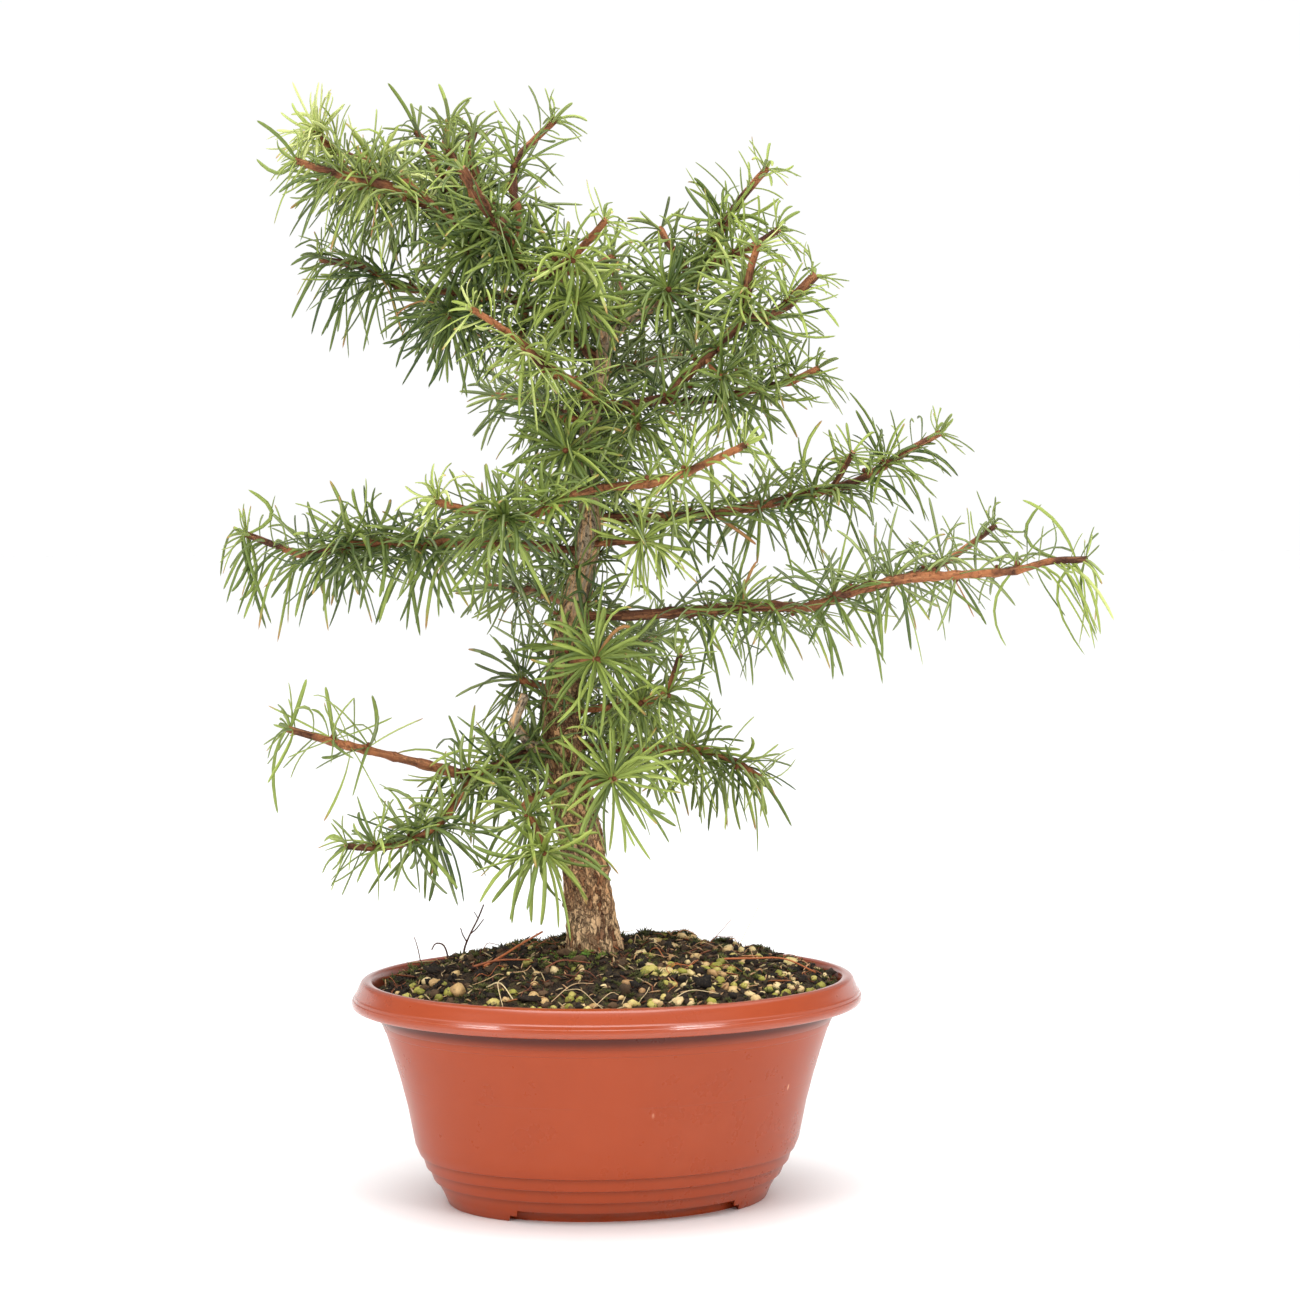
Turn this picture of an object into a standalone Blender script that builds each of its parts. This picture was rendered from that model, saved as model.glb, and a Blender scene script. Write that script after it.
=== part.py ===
"""Larch bonsai in an oval plastic training pot.

The pot stands with its long side on X. The tree is planted turned about the upright, and its
branch routes are listed across, away and up as seen from its best side, in millimetres.
"""

import math
import random

import bmesh
import bpy
import numpy as np
from mathutils import Matrix, Vector, noise

mm = 0.001

# Pot: outline at the lip, then how far each ring stands in from it and how high it is
lip_half_length = 129.0
lip_half_width = 107.0
pot_sides = 32
outer_rings = [
    (48.5, 0.0), (45.5, 6.0),
    (42.4, 11.6), (40.6, 12.0),
    (38.4, 18.1), (36.8, 18.5),
    (35.0, 24.6), (33.6, 25.0),
    (31.4, 30.6), (27.7, 49.4), (24.0, 63.7), (20.5, 75.4),
    (16.4, 88.4), (13.4, 89.2), (12.8, 96.8),
    (4.0, 97.6), (0.6, 99.8), (0.0, 105.0), (1.2, 109.0), (4.5, 112.6), (9.0, 112.6),
]
inner_rings = [
    (10.6, 110.6), (15.4, 96.0), (26.4, 63.7), (33.8, 30.6), (45.0, 12.0), (47.0, 8.8),
    (55.6, 8.2), (57.0, 3.2),
]

ledge_height = 9.0

# Foot: the low arches in front and behind that leave a foot at each end
arch_half_length = 54.5
arch_height = 6.0
arch_step = 3.0
pan_half_length = 75.5
pan_half_width = 53.5
drain_radius = 4.5
drain_sides = 8
drain_places = [(38.0, 0.0), (-38.0, 0.0), (0.0, 27.0), (0.0, -27.0)]

# Soil: a low mound with grains in relief
soil_gap = 0.4
soil_edge_height = 107.5
soil_crown_height = 124.0
soil_relief = 2.0
soil_top_rings = 8

# Tree
tree_turn = math.radians(-12.0)
trunk_x = -7.0
trunk_butt_radius = 14.8
trunk_hole_radius = 15.2
trunk_butt_height = 84.0
soil_line = 122.0
trunk_sides = 12
trunk_rings = 15
trunk_route = [
    # across, away, up, radius
    (-7, 0, 123, 14.7), (-8, 0, 131, 13.2), (-9, 1, 148, 12.0), (-13, 2, 176, 11.4), (-19, 4, 206, 10.6),
    (-24, 6, 236, 9.8), (-22, 5, 266, 9.2), (-17, 2, 297, 7.6), (-10, 0, 327, 6.2), (-9, -2, 352, 5.6),
    (-11, -3, 372, 5.2), (-9, -2, 389, 4.9), (-4, 0, 412, 4.4), (0, 0, 436, 3.8),
]
joint_gap = 0.35

# Bare limbs: the route, and the radius at its root and its end
limbs = {
    "right": ([(0, 0, 430), (11, 4, 443), (26, 10, 449), (41, 14, 460), (45, 15, 464)], 3.4, 2.9),
    "left": ([(-1, 0, 428), (-8, -4, 444), (-18, -8, 456), (-31, -12, 464), (-43, -15, 468)], 3.4, 2.9),
    "far_left": ([(-43, -15, 468), (-57, -10, 477), (-73, -4, 489), (-90, 0, 498)], 2.9, 2.4),
    "second_left": (
        [(-8, 0, 423), (-24, 8, 441), (-41, 14, 450), (-58, 20, 456), (-78, 26, 457), (-107, 30, 459)],
        3.0, 2.3,
    ),
    "upper_right": (
        [(-4, -2, 399), (10, -8, 399), (23, -12, 399), (35, -14, 407), (45, -16, 420), (56, -16, 429),
         (68, -16, 442)],
        3.0, 2.5,
    ),
    "front_fork": ([(-9, -3, 356), (-6, -14, 357), (-2, -26, 358)], 2.6, 2.3),
    "dead_snag": (
        [(-26, 6, 227), (-37, -2, 228), (-43, -6, 233), (-47, -8, 239), (-46, -9, 247), (-41, -10, 255)],
        3.2, 2.7,
    ),
}

# Leafy stems: route, radius at the root and the tip, and how much of it is bare wood
stems = {
    "crown_left_long": (
        [(-90, 0, 498), (-97, -6, 501), (-110, -12, 507), (-137, -20, 513), (-153, -24, 518)],
        2.2, 1.7, 12,
    ),
    "crown_left_under": (
        [(-90, 0, 498), (-104, 12, 504), (-120, 20, 508), (-147, 26, 513)],
        2.4, 2.1, 14,
    ),
    "crown_left_pale": (
        [(-83, -2, 495), (-104, 4, 512), (-129, 0, 523), (-138, -2, 527), (-146, -4, 536)],
        2.0, 1.6, 14,
    ),
    "crown_left_back": (
        [(-73, -4, 489), (-81, 14, 504), (-87, 26, 521), (-92, 32, 530), (-98, 36, 539)],
        2.0, 1.7, 12,
    ),
    "crown_left_short": ([(-63, -8, 481), (-68, -2, 498), (-73, 4, 515), (-80, 8, 527)], 2.0, 1.7, 12),
    "crown_left_front": (
        [(-45, -16, 470), (-50, -26, 483), (-59, -34, 494), (-70, -44, 512)],
        2.9, 2.7, 12,
    ),
    "crown_mid_cut": (
        [(-47, -13, 470), (-55, -2, 490), (-64, 10, 510), (-70, 18, 526), (-68, 22, 537)],
        2.5, 2.4, 16,
    ),
    "crown_mid_back": (
        [(-57, -10, 477), (-70, 16, 492), (-80, 36, 518), (-84, 50, 535), (-82, 54, 545)],
        2.2, 1.7, 16,
    ),
    "crown_mid_tall": (
        [(-43, -15, 468), (-44, -8, 490), (-47, -2, 506), (-45, 4, 521), (-38, 8, 530), (-26, 12, 542)],
        2.4, 1.7, 12,
    ),
    "crown_mid_front": (
        [(-43, -15, 468), (-30, -26, 463), (-17, -34, 470), (-6, -38, 481), (0, -40, 488)],
        2.2, 1.7, 12,
    ),
    "crown_mid_low": ([(-33, -13, 465), (-22, -2, 465), (-10, 6, 467), (3, 14, 474)], 2.1, 1.7, 10),
    "second_left_tip": (
        [(-107, 30, 459), (-117, 32, 467), (-129, 34, 471), (-147, 36, 474)],
        2.2, 1.8, 6,
    ),
    "second_left_drop": ([(-58, 20, 456), (-65, 10, 450), (-71, 2, 446), (-78, -4, 445)], 1.9, 1.6, 8),
    "front_cross": (
        [(-3, -2, 398), (-8, -22, 403), (-17, -32, 410), (-30, -40, 417), (-45, -48, 431),
         (-65, -56, 444)],
        2.3, 1.6, 18,
    ),
    "crown_right_tall": (
        [(45, 15, 464), (53, 16, 475), (57, 16, 488), (67, 14, 503), (80, 10, 518)],
        2.4, 1.8, 10,
    ),
    "crown_right_inner": ([(41, 14, 460), (37, 22, 472), (31, 30, 481), (26, 36, 490)], 2.0, 1.7, 9),
    "crown_right_low": ([(45, 15, 464), (60, 6, 473), (74, 0, 479), (85, -6, 486)], 2.2, 1.7, 10),
    "upper_right_stub": ([(68, -16, 442), (69, -20, 453), (70, -24, 464), (74, -28, 477)], 2.2, 1.7, 8),
    "upper_right_long": (
        [(68, -16, 442), (76, -14, 442), (87, -12, 447), (94, -12, 454), (103, -12, 463)],
        2.6, 2.4, 9,
    ),
    "upper_right_low": (
        [(28, -12, 401), (41, -4, 401), (59, 2, 403), (76, 6, 408), (91, 8, 411), (106, 10, 418)],
        2.3, 1.7, 12,
    ),
    "front_right": (
        [(-2, -26, 358), (21, -36, 360), (35, -42, 364), (51, -48, 371), (68, -54, 379)],
        2.2, 1.7, 10,
    ),
    "front_left": (
        [(-2, -26, 358), (-15, -38, 355), (-27, -46, 349), (-38, -50, 344), (-49, -52, 343),
         (-66, -54, 347), (-82, -58, 351)],
        2.3, 1.8, 12,
    ),
    "mid_left": (
        [(-11, 0, 326), (-29, -4, 328), (-54, -6, 330), (-87, -4, 331), (-110, 0, 330), (-132, 4, 329),
         (-151, 6, 324), (-167, 8, 329), (-183, 8, 335)],
        2.6, 1.7, 22,
    ),
    "mid_right": (
        [(-9, -1, 343), (8, 2, 343), (30, 6, 343), (53, 10, 345), (76, 14, 349), (98, 18, 354), (125, 22, 361),
         (149, 26, 375), (169, 28, 386)],
        2.6, 1.7, 22,
    ),
    "right_long": (
        [(-17, 2, 294), (9, -2, 294), (35, -6, 296), (78, -12, 299), (100, -15, 299), (122, -18, 307),
         (146, -22, 313), (170, -26, 315), (198, -30, 317), (217, -34, 322), (235, -36, 323)],
        2.9, 1.7, 26,
    ),
    "trunk_twig": (
        [(-22, 6, 245), (-4, -6, 248), (16, -14, 251), (29, -20, 257), (36, -26, 276)],
        2.0, 1.5, 18,
    ),
    "low_left": (
        [(-24, 6, 230), (-39, 0, 226), (-52, -4, 220), (-69, -8, 215), (-86, -12, 219), (-112, -16, 226),
         (-135, -20, 232), (-158, -24, 239)],
        2.6, 1.8, 20,
    ),
    "low_front": (
        [(-19, 4, 203), (-31, -12, 206), (-41, -26, 201), (-35, -36, 191), (-31, -42, 181)],
        2.1, 1.6, 18,
    ),
    "low_right": (
        [(-23, 6, 229), (-4, 14, 227), (23, 20, 225), (46, 22, 225), (64, 20, 219), (77, 16, 211)],
        2.4, 1.7, 20,
    ),
    "back_low_left": ([(-20, 5, 213), (-31, 40, 214), (-46, 75, 214), (-59, 108, 214)], 2.3, 1.7, 24),
    "back_low_right": ([(-23, 6, 232), (-9, 42, 234), (6, 80, 238), (16, 116, 240)], 2.4, 1.7, 24),
    "back_mid_left": ([(-16, 2, 300), (-27, 38, 301), (-45, 78, 304), (-65, 114, 305)], 2.3, 1.7, 22),
    "back_mid_right": ([(-21, 5, 270), (-4, 40, 274), (14, 80, 276), (26, 118, 278)], 2.4, 1.7, 22),
    "back_centre": ([(-10, -2, 364), (-5, 36, 370), (-1, 80, 379), (-5, 122, 388)], 2.3, 1.7, 20),
    "back_upper_left": ([(-8, -2, 392), (-22, 34, 397), (-43, 70, 404), (-62, 100, 407)], 2.2, 1.7, 18),
    "back_upper_right": ([(-3, 0, 415), (12, 36, 420), (30, 70, 426), (44, 98, 432)], 2.1, 1.7, 16),
    "back_top": ([(-2, 0, 426), (2, 28, 442), (6, 56, 457), (2, 82, 471)], 2.0, 1.6, 16),
    "spur_north": ([(-21, 4, 270), (-14, -14, 272), (-5, -32, 274)], 2.1, 2.0, 21),
    "spur_south": ([(-20, 4, 208), (-9, -14, 211), (3, -32, 215)], 2.1, 2.0, 23),
    "spur_pale": ([(-10, 0, 329), (4, -14, 331), (18, -24, 332)], 1.8, 1.6, 14),
    "spur_left_a": ([(-10, -3, 374), (-15, -16, 375), (-20, -30, 376)], 2.0, 1.8, 14),
    "spur_left_b": ([(-8, -2, 393), (-20, -8, 392), (-31, -12, 392)], 2.0, 1.8, 12),
    "spur_left_c": ([(-23, 6, 255), (-33, 10, 258), (-45, 14, 261)], 1.9, 1.7, 14),
    "spur_limb_a": ([(-66, -6, 483), (-69, -16, 474)], 1.8, 1.7, 7),
    "spur_limb_b": ([(-80, 26, 457), (-83, 22, 443)], 1.8, 1.7, 7),
    "spur_limb_c": ([(-41, 14, 450), (-43, 9, 436)], 1.8, 1.7, 7),
    "spur_limb_d": ([(-18, -8, 456), (-15, -21, 449)], 1.8, 1.7, 7),
    "spur_limb_e": ([(26, 10, 449), (30, -3, 456)], 1.8, 1.7, 7),
    "spur_limb_f": ([(39, 13, 459), (44, 8, 445)], 1.8, 1.7, 7),
    "spur_limb_g": ([(48, -16, 422), (57, -22, 412)], 1.8, 1.7, 7),
    "spur_limb_h": ([(12, -9, 399), (15, -17, 388)], 1.8, 1.7, 7),
}

# Side shoots, fused to the leafy stem that carries them
side_shoots = {
    "mid_right": [([(112, 20, 357), (117, 16, 364), (123, 8, 376)], 1.5, 1.4)],
    "right_long": [
        ([(122, -18, 307), (143, -8, 312), (161, 0, 317), (177, 6, 326), (195, 10, 339)], 1.9, 1.5),
    ],
    "low_left": [
        ([(-65, -7, 216), (-73, -20, 206), (-80, -30, 195), (-96, -36, 185), (-111, -40, 182), (-128, -44, 183)],
         2.0, 1.7),
    ],
}

# Where a stem has dropped its needles: from and to, along it
bare_stretches = {"low_left": (42, 108), "right_long": (0, 14)}

# Long needles whose place shows in the outline: place along the stem, bend and tip
reaching_needles = {
    "right_long": [
        (252, (232, -38, 304), (239, -38, 286)),
        (238, (220, -36, 304), (234, -36, 276)),
        (247, (240, -30, 311), (240, -26, 292)),
        (222, (206, -24, 334), (214, -22, 350)),
        (226, (217, -40, 343), (202, -42, 352)),
        (196, (190, -30, 298), (196, -32, 280)),
    ],
    "mid_left": [
        (165, (-178, 14, 312), (-187, 18, 301)),
        (170, (-181, 2, 318), (-188, -4, 306)),
        (160, (-168, 0, 346), (-179, -6, 357)),
    ],
    "crown_left_long": [
        (58, (-160, -30, 529), (-170, -34, 536)),
        (60, (-162, -22, 512), (-172, -20, 519)),
    ],
    "crown_left_back": [(56, (-104, 38, 552), (-112, 34, 563))],
    "crown_mid_back": [(82, (-84, 56, 556), (-88, 60, 566))],
    "low_left": [(152, (-152, -26, 252), (-148, -28, 264))],
}

# Needles
needle_width = 1.8
needle_thickness = 1.0
root_share = 0.6
shortest_needle = 25.0
longest_needle = 36.0
shoot_length = 34.0
shoot_step = 10.0
whorl_step = 31.0
whorl_needles = 4
spur_needles = 8
tip_needles = 3
tip_needle = 19.0
past_the_cut = 8.0
clear_of_others = 0.45
redraws = 26
core_sides = 5
core_step = 21.0
limb_step = 17.0
golden_angle = math.radians(137.508)
seed = 41


def clear_scene():
    for old in list(bpy.data.objects):
        bpy.data.objects.remove(old, do_unlink=True)


def material(name, colour, roughness, metallic=0.0):
    made = bpy.data.materials.new(name)
    made.use_nodes = True
    shader = made.node_tree.nodes["Principled BSDF"]
    shader.inputs["Base Color"].default_value = (*colour, 1.0)
    shader.inputs["Roughness"].default_value = roughness
    shader.inputs["Metallic"].default_value = metallic
    return made


def object_from(bm, name, finish=None):
    bmesh.ops.recalc_face_normals(bm, faces=bm.faces)
    mesh = bpy.data.meshes.new(name)
    bm.to_mesh(mesh)
    bm.free()
    made = bpy.data.objects.new(name, mesh)
    bpy.context.scene.collection.objects.link(made)
    if finish:
        mesh.materials.append(finish)
    return made


def bridge(bm, rings, closed_start=True, closed_end=True):
    count = len(rings[0])
    for lower, upper in zip(rings, rings[1:]):
        for i in range(count):
            j = (i + 1) % count
            bm.faces.new((lower[i], lower[j], upper[j], upper[i]))
    if closed_start:
        bm.faces.new(list(reversed(rings[0])))
    if closed_end:
        bm.faces.new(rings[-1])


def cut_away(target, cutter):
    target.modifiers.new("cut", "BOOLEAN")
    target.modifiers["cut"].operation = "DIFFERENCE"
    target.modifiers["cut"].solver = "EXACT"
    target.modifiers["cut"].object = cutter
    apply_modifiers(target)
    bpy.data.objects.remove(cutter, do_unlink=True)


def join_all(target, pieces):
    """Unite a list of solids with the target in one Boolean, and remove them."""
    if not pieces:
        return
    group = bpy.data.collections.new("pieces")
    bpy.context.scene.collection.children.link(group)
    for piece in pieces:
        bpy.context.scene.collection.objects.unlink(piece)
        group.objects.link(piece)
    union = target.modifiers.new("union", "BOOLEAN")
    union.operation = "UNION"
    union.operand_type = "COLLECTION"
    union.solver = "EXACT"
    union.collection = group
    apply_modifiers(target)
    for piece in pieces:
        bpy.data.objects.remove(piece, do_unlink=True)
    bpy.data.collections.remove(group)
    keep_outer_skin(target)


def keep_outer_skin(target):
    """Fill any hollow that joining has sealed and drop any loose scrap: only the main skin stays."""
    bm = bmesh.new()
    bm.from_mesh(target.data)
    unseen = set(bm.verts)
    skins = []
    while unseen:
        edge_of_search = [unseen.pop()]
        skin = set(edge_of_search)
        while edge_of_search:
            vert = edge_of_search.pop()
            for edge in vert.link_edges:
                other = edge.other_vert(vert)
                if other in unseen:
                    unseen.discard(other)
                    skin.add(other)
                    edge_of_search.append(other)
        skins.append(skin)
    skins.sort(key=len, reverse=True)
    scraps = [vert for skin in skins[1:] for vert in skin]
    if scraps:
        print(target.name, "loses", len(skins) - 1, "scraps or hollows of", len(scraps), "corners")
        bmesh.ops.delete(bm, geom=scraps, context="VERTS")
        bm.to_mesh(target.data)
    bm.free()


def apply_modifiers(target):
    graph = bpy.context.evaluated_depsgraph_get()
    made = bpy.data.meshes.new_from_object(target.evaluated_get(graph))
    target.modifiers.clear()
    old = target.data
    target.data = made
    made.name = old.name
    bpy.data.meshes.remove(old)


def oval(inset, height, sides=pot_sides):
    """One ring of the pot, a constant distance inside the lip's outline."""
    half_length = (lip_half_length - inset) * mm
    half_width = (lip_half_width - inset) * mm
    turns = [2 * math.pi * i / sides for i in range(sides)]
    return [Vector((half_length * math.cos(a), half_width * math.sin(a), height * mm)) for a in turns]


def arch_cutter(name, side, half_length, height):
    """A block under the wall that leaves the pan behind it standing to the ground."""
    steps = 6
    below, reach = -2.0, 95.0
    outline = []
    for i in range(steps + 1):
        across = -half_length + 2 * half_length * i / steps
        depth = pan_half_width * math.sqrt(max(0.0, 1 - (across / pan_half_length) ** 2))
        outline.append((across, side * depth))
    outline += [(half_length, side * reach), (-half_length, side * reach)]
    bm = bmesh.new()
    lower = [bm.verts.new((x * mm, y * mm, below * mm)) for x, y in outline]
    upper = [bm.verts.new((x * mm, y * mm, height * mm)) for x, y in outline]
    bridge(bm, [lower, upper])
    return object_from(bm, name)


def build_pot():
    bm = bmesh.new()
    rings = [[bm.verts.new(p) for p in oval(inset, z)] for inset, z in outer_rings + inner_rings]
    bridge(bm, rings)
    pot = object_from(bm, "pot", material("terracotta_plastic", (0.50, 0.115, 0.05), 0.42))
    for side in (-1, 1):
        cut_away(pot, arch_cutter("arch", side, arch_half_length, arch_height))
        cut_away(pot, arch_cutter("arch_step", side, arch_half_length + 3.0, arch_step))
    for x, y in drain_places:
        bpy.ops.mesh.primitive_cylinder_add(
            vertices=drain_sides, radius=drain_radius * mm, depth=20 * mm, location=(x * mm, y * mm, 0),
        )
        cut_away(pot, bpy.context.object)
    pot.data.shade_smooth()
    pot.data.set_sharp_from_angle(angle=math.radians(28))
    return pot


def soil_height(x, y, outward):
    """The mound, lower at the back left, with grains in relief."""
    mound = soil_edge_height + (soil_crown_height - soil_edge_height) * (1 - outward ** 3)
    dip = 1.6 * outward * max(0.0, -x / lip_half_length)
    coarse = noise.noise(Vector((x * 0.11, y * 0.11, 3.0)))
    fine = noise.noise(Vector((x * 0.31, y * 0.31, 9.0)))
    grain = coarse + 0.8 * fine
    return mound - dip + soil_relief * grain * (1 - 0.5 * outward ** 6)


def build_soil():
    bm = bmesh.new()
    wall = [ring for ring in inner_rings if ring[1] < soil_edge_height]
    rings = []
    for inset, z in reversed(wall):
        lift = soil_gap if z < ledge_height else 0.0
        rings.append([bm.verts.new(p) for p in oval(inset + soil_gap, z + lift)])
    insets, heights = zip(*reversed(inner_rings))
    edge_inset = float(np.interp(soil_edge_height, heights, insets)) + soil_gap
    for k in range(soil_top_rings):
        outward = 1 - k / soil_top_rings
        ring = []
        for p in oval(edge_inset, 0):
            x, y = p.x / mm * outward, p.y / mm * outward
            height = soil_height(x, y, outward) if k else soil_edge_height
            ring.append(bm.verts.new((x * mm, y * mm, height * mm)))
        rings.append(ring)
    bridge(bm, rings, closed_end=False)
    top = bm.verts.new((0, 0, soil_height(0.0, 0.0, 0.0) * mm))
    last = rings[-1]
    for i in range(len(last)):
        bm.faces.new((last[i], last[(i + 1) % len(last)], top))
    bmesh.ops.triangulate(bm, faces=bm.faces)
    soil = object_from(bm, "soil", material("peat", (0.035, 0.024, 0.016), 0.95))
    hole_bottom = trunk_butt_height - joint_gap
    hole = upright_prism("hole", trunk_hole_radius, hole_bottom, 150.0)
    cut_away(soil, hole)
    return soil


def upright_prism(name, radius, bottom, top):
    bm = bmesh.new()
    rings = []
    for z in (bottom, top):
        rings.append([bm.verts.new(p) for p in trunk_ring((trunk_x, 0, z), radius)])
    bridge(bm, rings)
    return object_from(bm, name)


def trunk_ring(centre, radius, rough=0.0):
    ring = []
    for i in range(trunk_sides):
        a = 2 * math.pi * i / trunk_sides
        bump = noise.noise(Vector((2 * math.cos(a), 2 * math.sin(a), centre[2] * 0.045)))
        r = radius * (1 + rough * bump)
        ring.append(placed((centre[0] + r * math.cos(a), centre[1] + r * math.sin(a), centre[2])))
    return ring


def placed(point):
    """From the tree's own millimetres, across, away and up, to the world."""
    return Matrix.Rotation(tree_turn, 3, "Z") @ (Vector(point) * mm)


class Route:
    """A line through a few points, smooth or straight between them, read by the distance along it."""

    def __init__(self, points, smooth=True):
        spots = [Vector(p) for p in points]
        if smooth:
            self.line = self.smoothed(spots)
        else:
            self.line = spots
        self.marks = [0.0]
        for a, b in zip(self.line, self.line[1:]):
            self.marks.append(self.marks[-1] + (b - a).length)
        self.length = self.marks[-1]

    def smoothed(self, spots):
        first = 2 * spots[0] - spots[1]
        last = 2 * spots[-1] - spots[-2]
        spots = [first, *spots, last]
        line = [spots[1]]
        for a, b, c, d in zip(spots, spots[1:], spots[2:], spots[3:]):
            for k in range(1, 13):
                t = k / 12
                line.append(
                    b + 0.5 * (c - a) * t
                    + (a - 2.5 * b + 2 * c - 0.5 * d) * t ** 2
                    + 0.5 * (3 * b - a - 3 * c + d) * t ** 3
                )
        return line

    def point(self, along):
        along = min(max(along, 0.0), self.length)
        k = max(1, int(np.searchsorted(self.marks, along)))
        k = min(k, len(self.marks) - 1)
        part = (along - self.marks[k - 1]) / (self.marks[k] - self.marks[k - 1])
        return self.line[k - 1].lerp(self.line[k], part)

    def direction(self, along):
        return (self.point(along + 1.5) - self.point(along - 1.5)).normalized()


def across_of(direction, turn=0.0):
    """Two directions square to the given one, the first turned about it."""
    helper = Vector((0, 0, 1)) if abs(direction.z) < 0.8 else Vector((1, 0, 0))
    side = direction.cross(helper).normalized()
    other = direction.cross(side)
    return side * math.cos(turn) + other * math.sin(turn), other * math.cos(turn) - side * math.sin(turn)


def cut_to(route, start, end, step):
    """The part of a route between two places, as straight runs of about the given length."""
    count = max(1, round((end - start) / step))
    return Route([route.point(start + (end - start) * k / count) for k in range(count + 1)], smooth=False)


def tube(name, line, first_way, last_way, start_radius, end_radius, sides, finish=None, gap=0.0):
    """A tapered stem along straight runs, with flat ends. Its first ring may stand a gap off."""
    bm = bmesh.new()
    rings = []
    side = across_of(first_way)[0]
    last = len(line.line) - 1
    for k, centre in enumerate(line.line):
        if k == 0:
            ahead = first_way
            centre = centre + ahead * gap
        elif k == last:
            ahead = last_way
        else:
            ahead = (line.line[k + 1] - line.line[k - 1]).normalized()
        side = (side - ahead * side.dot(ahead)).normalized()
        other = ahead.cross(side)
        radius = start_radius + (end_radius - start_radius) * k / last
        ring = []
        for i in range(sides):
            a = 2 * math.pi * i / sides
            ring.append(bm.verts.new(placed(centre + radius * (side * math.cos(a) + other * math.sin(a)))))
        rings.append(ring)
    bridge(bm, rings)
    return object_from(bm, name, finish)


def stem_tube(name, route, start, end, start_radius, end_radius, sides, step, finish=None, gap=0.0):
    line = cut_to(route, start, end, step)
    first_way, last_way = route.direction(start), route.direction(end)
    return tube(name, line, first_way, last_way, start_radius, end_radius, sides, finish, gap)


def build_wood(routes):
    """Trunk, limbs, the bare foot of every stem and the dead snag, grown as one piece."""
    bm = bmesh.new()
    line = Route([p[:3] for p in trunk_route])
    knots = [p[2] for p in trunk_route]
    radii = [p[3] for p in trunk_route]
    rings = [trunk_ring((trunk_x, 0, z), trunk_butt_radius) for z in (trunk_butt_height, soil_line - 1)]
    for k in range(trunk_rings + 1):
        spot = line.point(line.length * k / trunk_rings)
        radius = float(np.interp(spot.z, knots, radii))
        rough = 0.0 if spot.z < soil_line + 4 else 0.16
        rings.append(trunk_ring(tuple(spot), radius, rough))
    bridge(bm, [[bm.verts.new(p) for p in ring] for ring in rings])
    wood = object_from(bm, "trunk", material("bark", (0.16, 0.095, 0.06), 0.88))
    pieces = []
    for name, (points, start_radius, end_radius) in limbs.items():
        route = Route(points)
        pieces.append(stem_tube(name, route, 0.0, route.length, start_radius, end_radius, 6, limb_step))
    for name, (points, start_radius, end_radius, bare) in stems.items():
        route = routes[name]
        radius = start_radius + (end_radius - start_radius) * bare / route.length
        pieces.append(stem_tube(name, route, 0.0, bare, start_radius, radius, core_sides, core_step))
    join_all(wood, pieces)
    return wood


class Crowd:
    """Every stem and needle so far as straight runs with a radius, to keep new ones clear of them."""

    def __init__(self):
        self.starts, self.ends, self.radii, self.owners = [], [], [], []
        self.packed = None

    def add(self, start, end, radius, owner):
        self.starts.append(tuple(start))
        self.ends.append(tuple(end))
        self.radii.append(radius)
        self.owners.append(owner)
        self.packed = None

    def room(self, start, end, radius, owner, own):
        """The least clearance to the solids of other owners, or to the owner's own."""
        if self.packed is None:
            self.packed = (
                np.array(self.starts), np.array(self.ends), np.array(self.radii), np.array(self.owners),
            )
        starts, ends, radii, owners = self.packed
        chosen = (owners == owner) if own else (owners != owner)
        if not chosen.any():
            return 100.0
        apart = distance(np.array(start), np.array(end), starts[chosen], ends[chosen])
        return float((apart - radii[chosen]).min()) - radius


def distance(start, end, starts, ends):
    """From one straight run to each of many."""
    first, second = end - start, ends - starts
    offset = start - starts
    a = float(first @ first)
    e = np.maximum((second * second).sum(1), 1e-9)
    f = (second * offset).sum(1)
    c = offset @ first
    b = second @ first
    spread = a * e - b * b
    s = np.where(spread > 1e-9, np.clip((b * f - c * e) / np.maximum(spread, 1e-9), 0, 1), 0.0)
    t = np.clip((b * s + f) / e, 0, 1)
    s = np.clip((b * t - c) / max(a, 1e-9), 0, 1)
    gap = (start + s[:, None] * first) - (starts + t[:, None] * second)
    return np.sqrt((gap * gap).sum(1))


def needle_fits(crowd, root, bend, tip, owner):
    if tip[2] < 141 or bend[2] < 141:
        return False
    half = 0.5 * needle_width
    if crowd.room(root, bend, half, owner, False) < clear_of_others:
        return False
    if crowd.room(bend, tip, half, owner, False) < clear_of_others:
        return False
    free = [root[i] + 0.42 * (bend[i] - root[i]) for i in range(3)]
    if crowd.room(free, bend, half, owner, True) < 0.1:
        return False
    return crowd.room(bend, tip, half, owner, True) > 0.1


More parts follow.
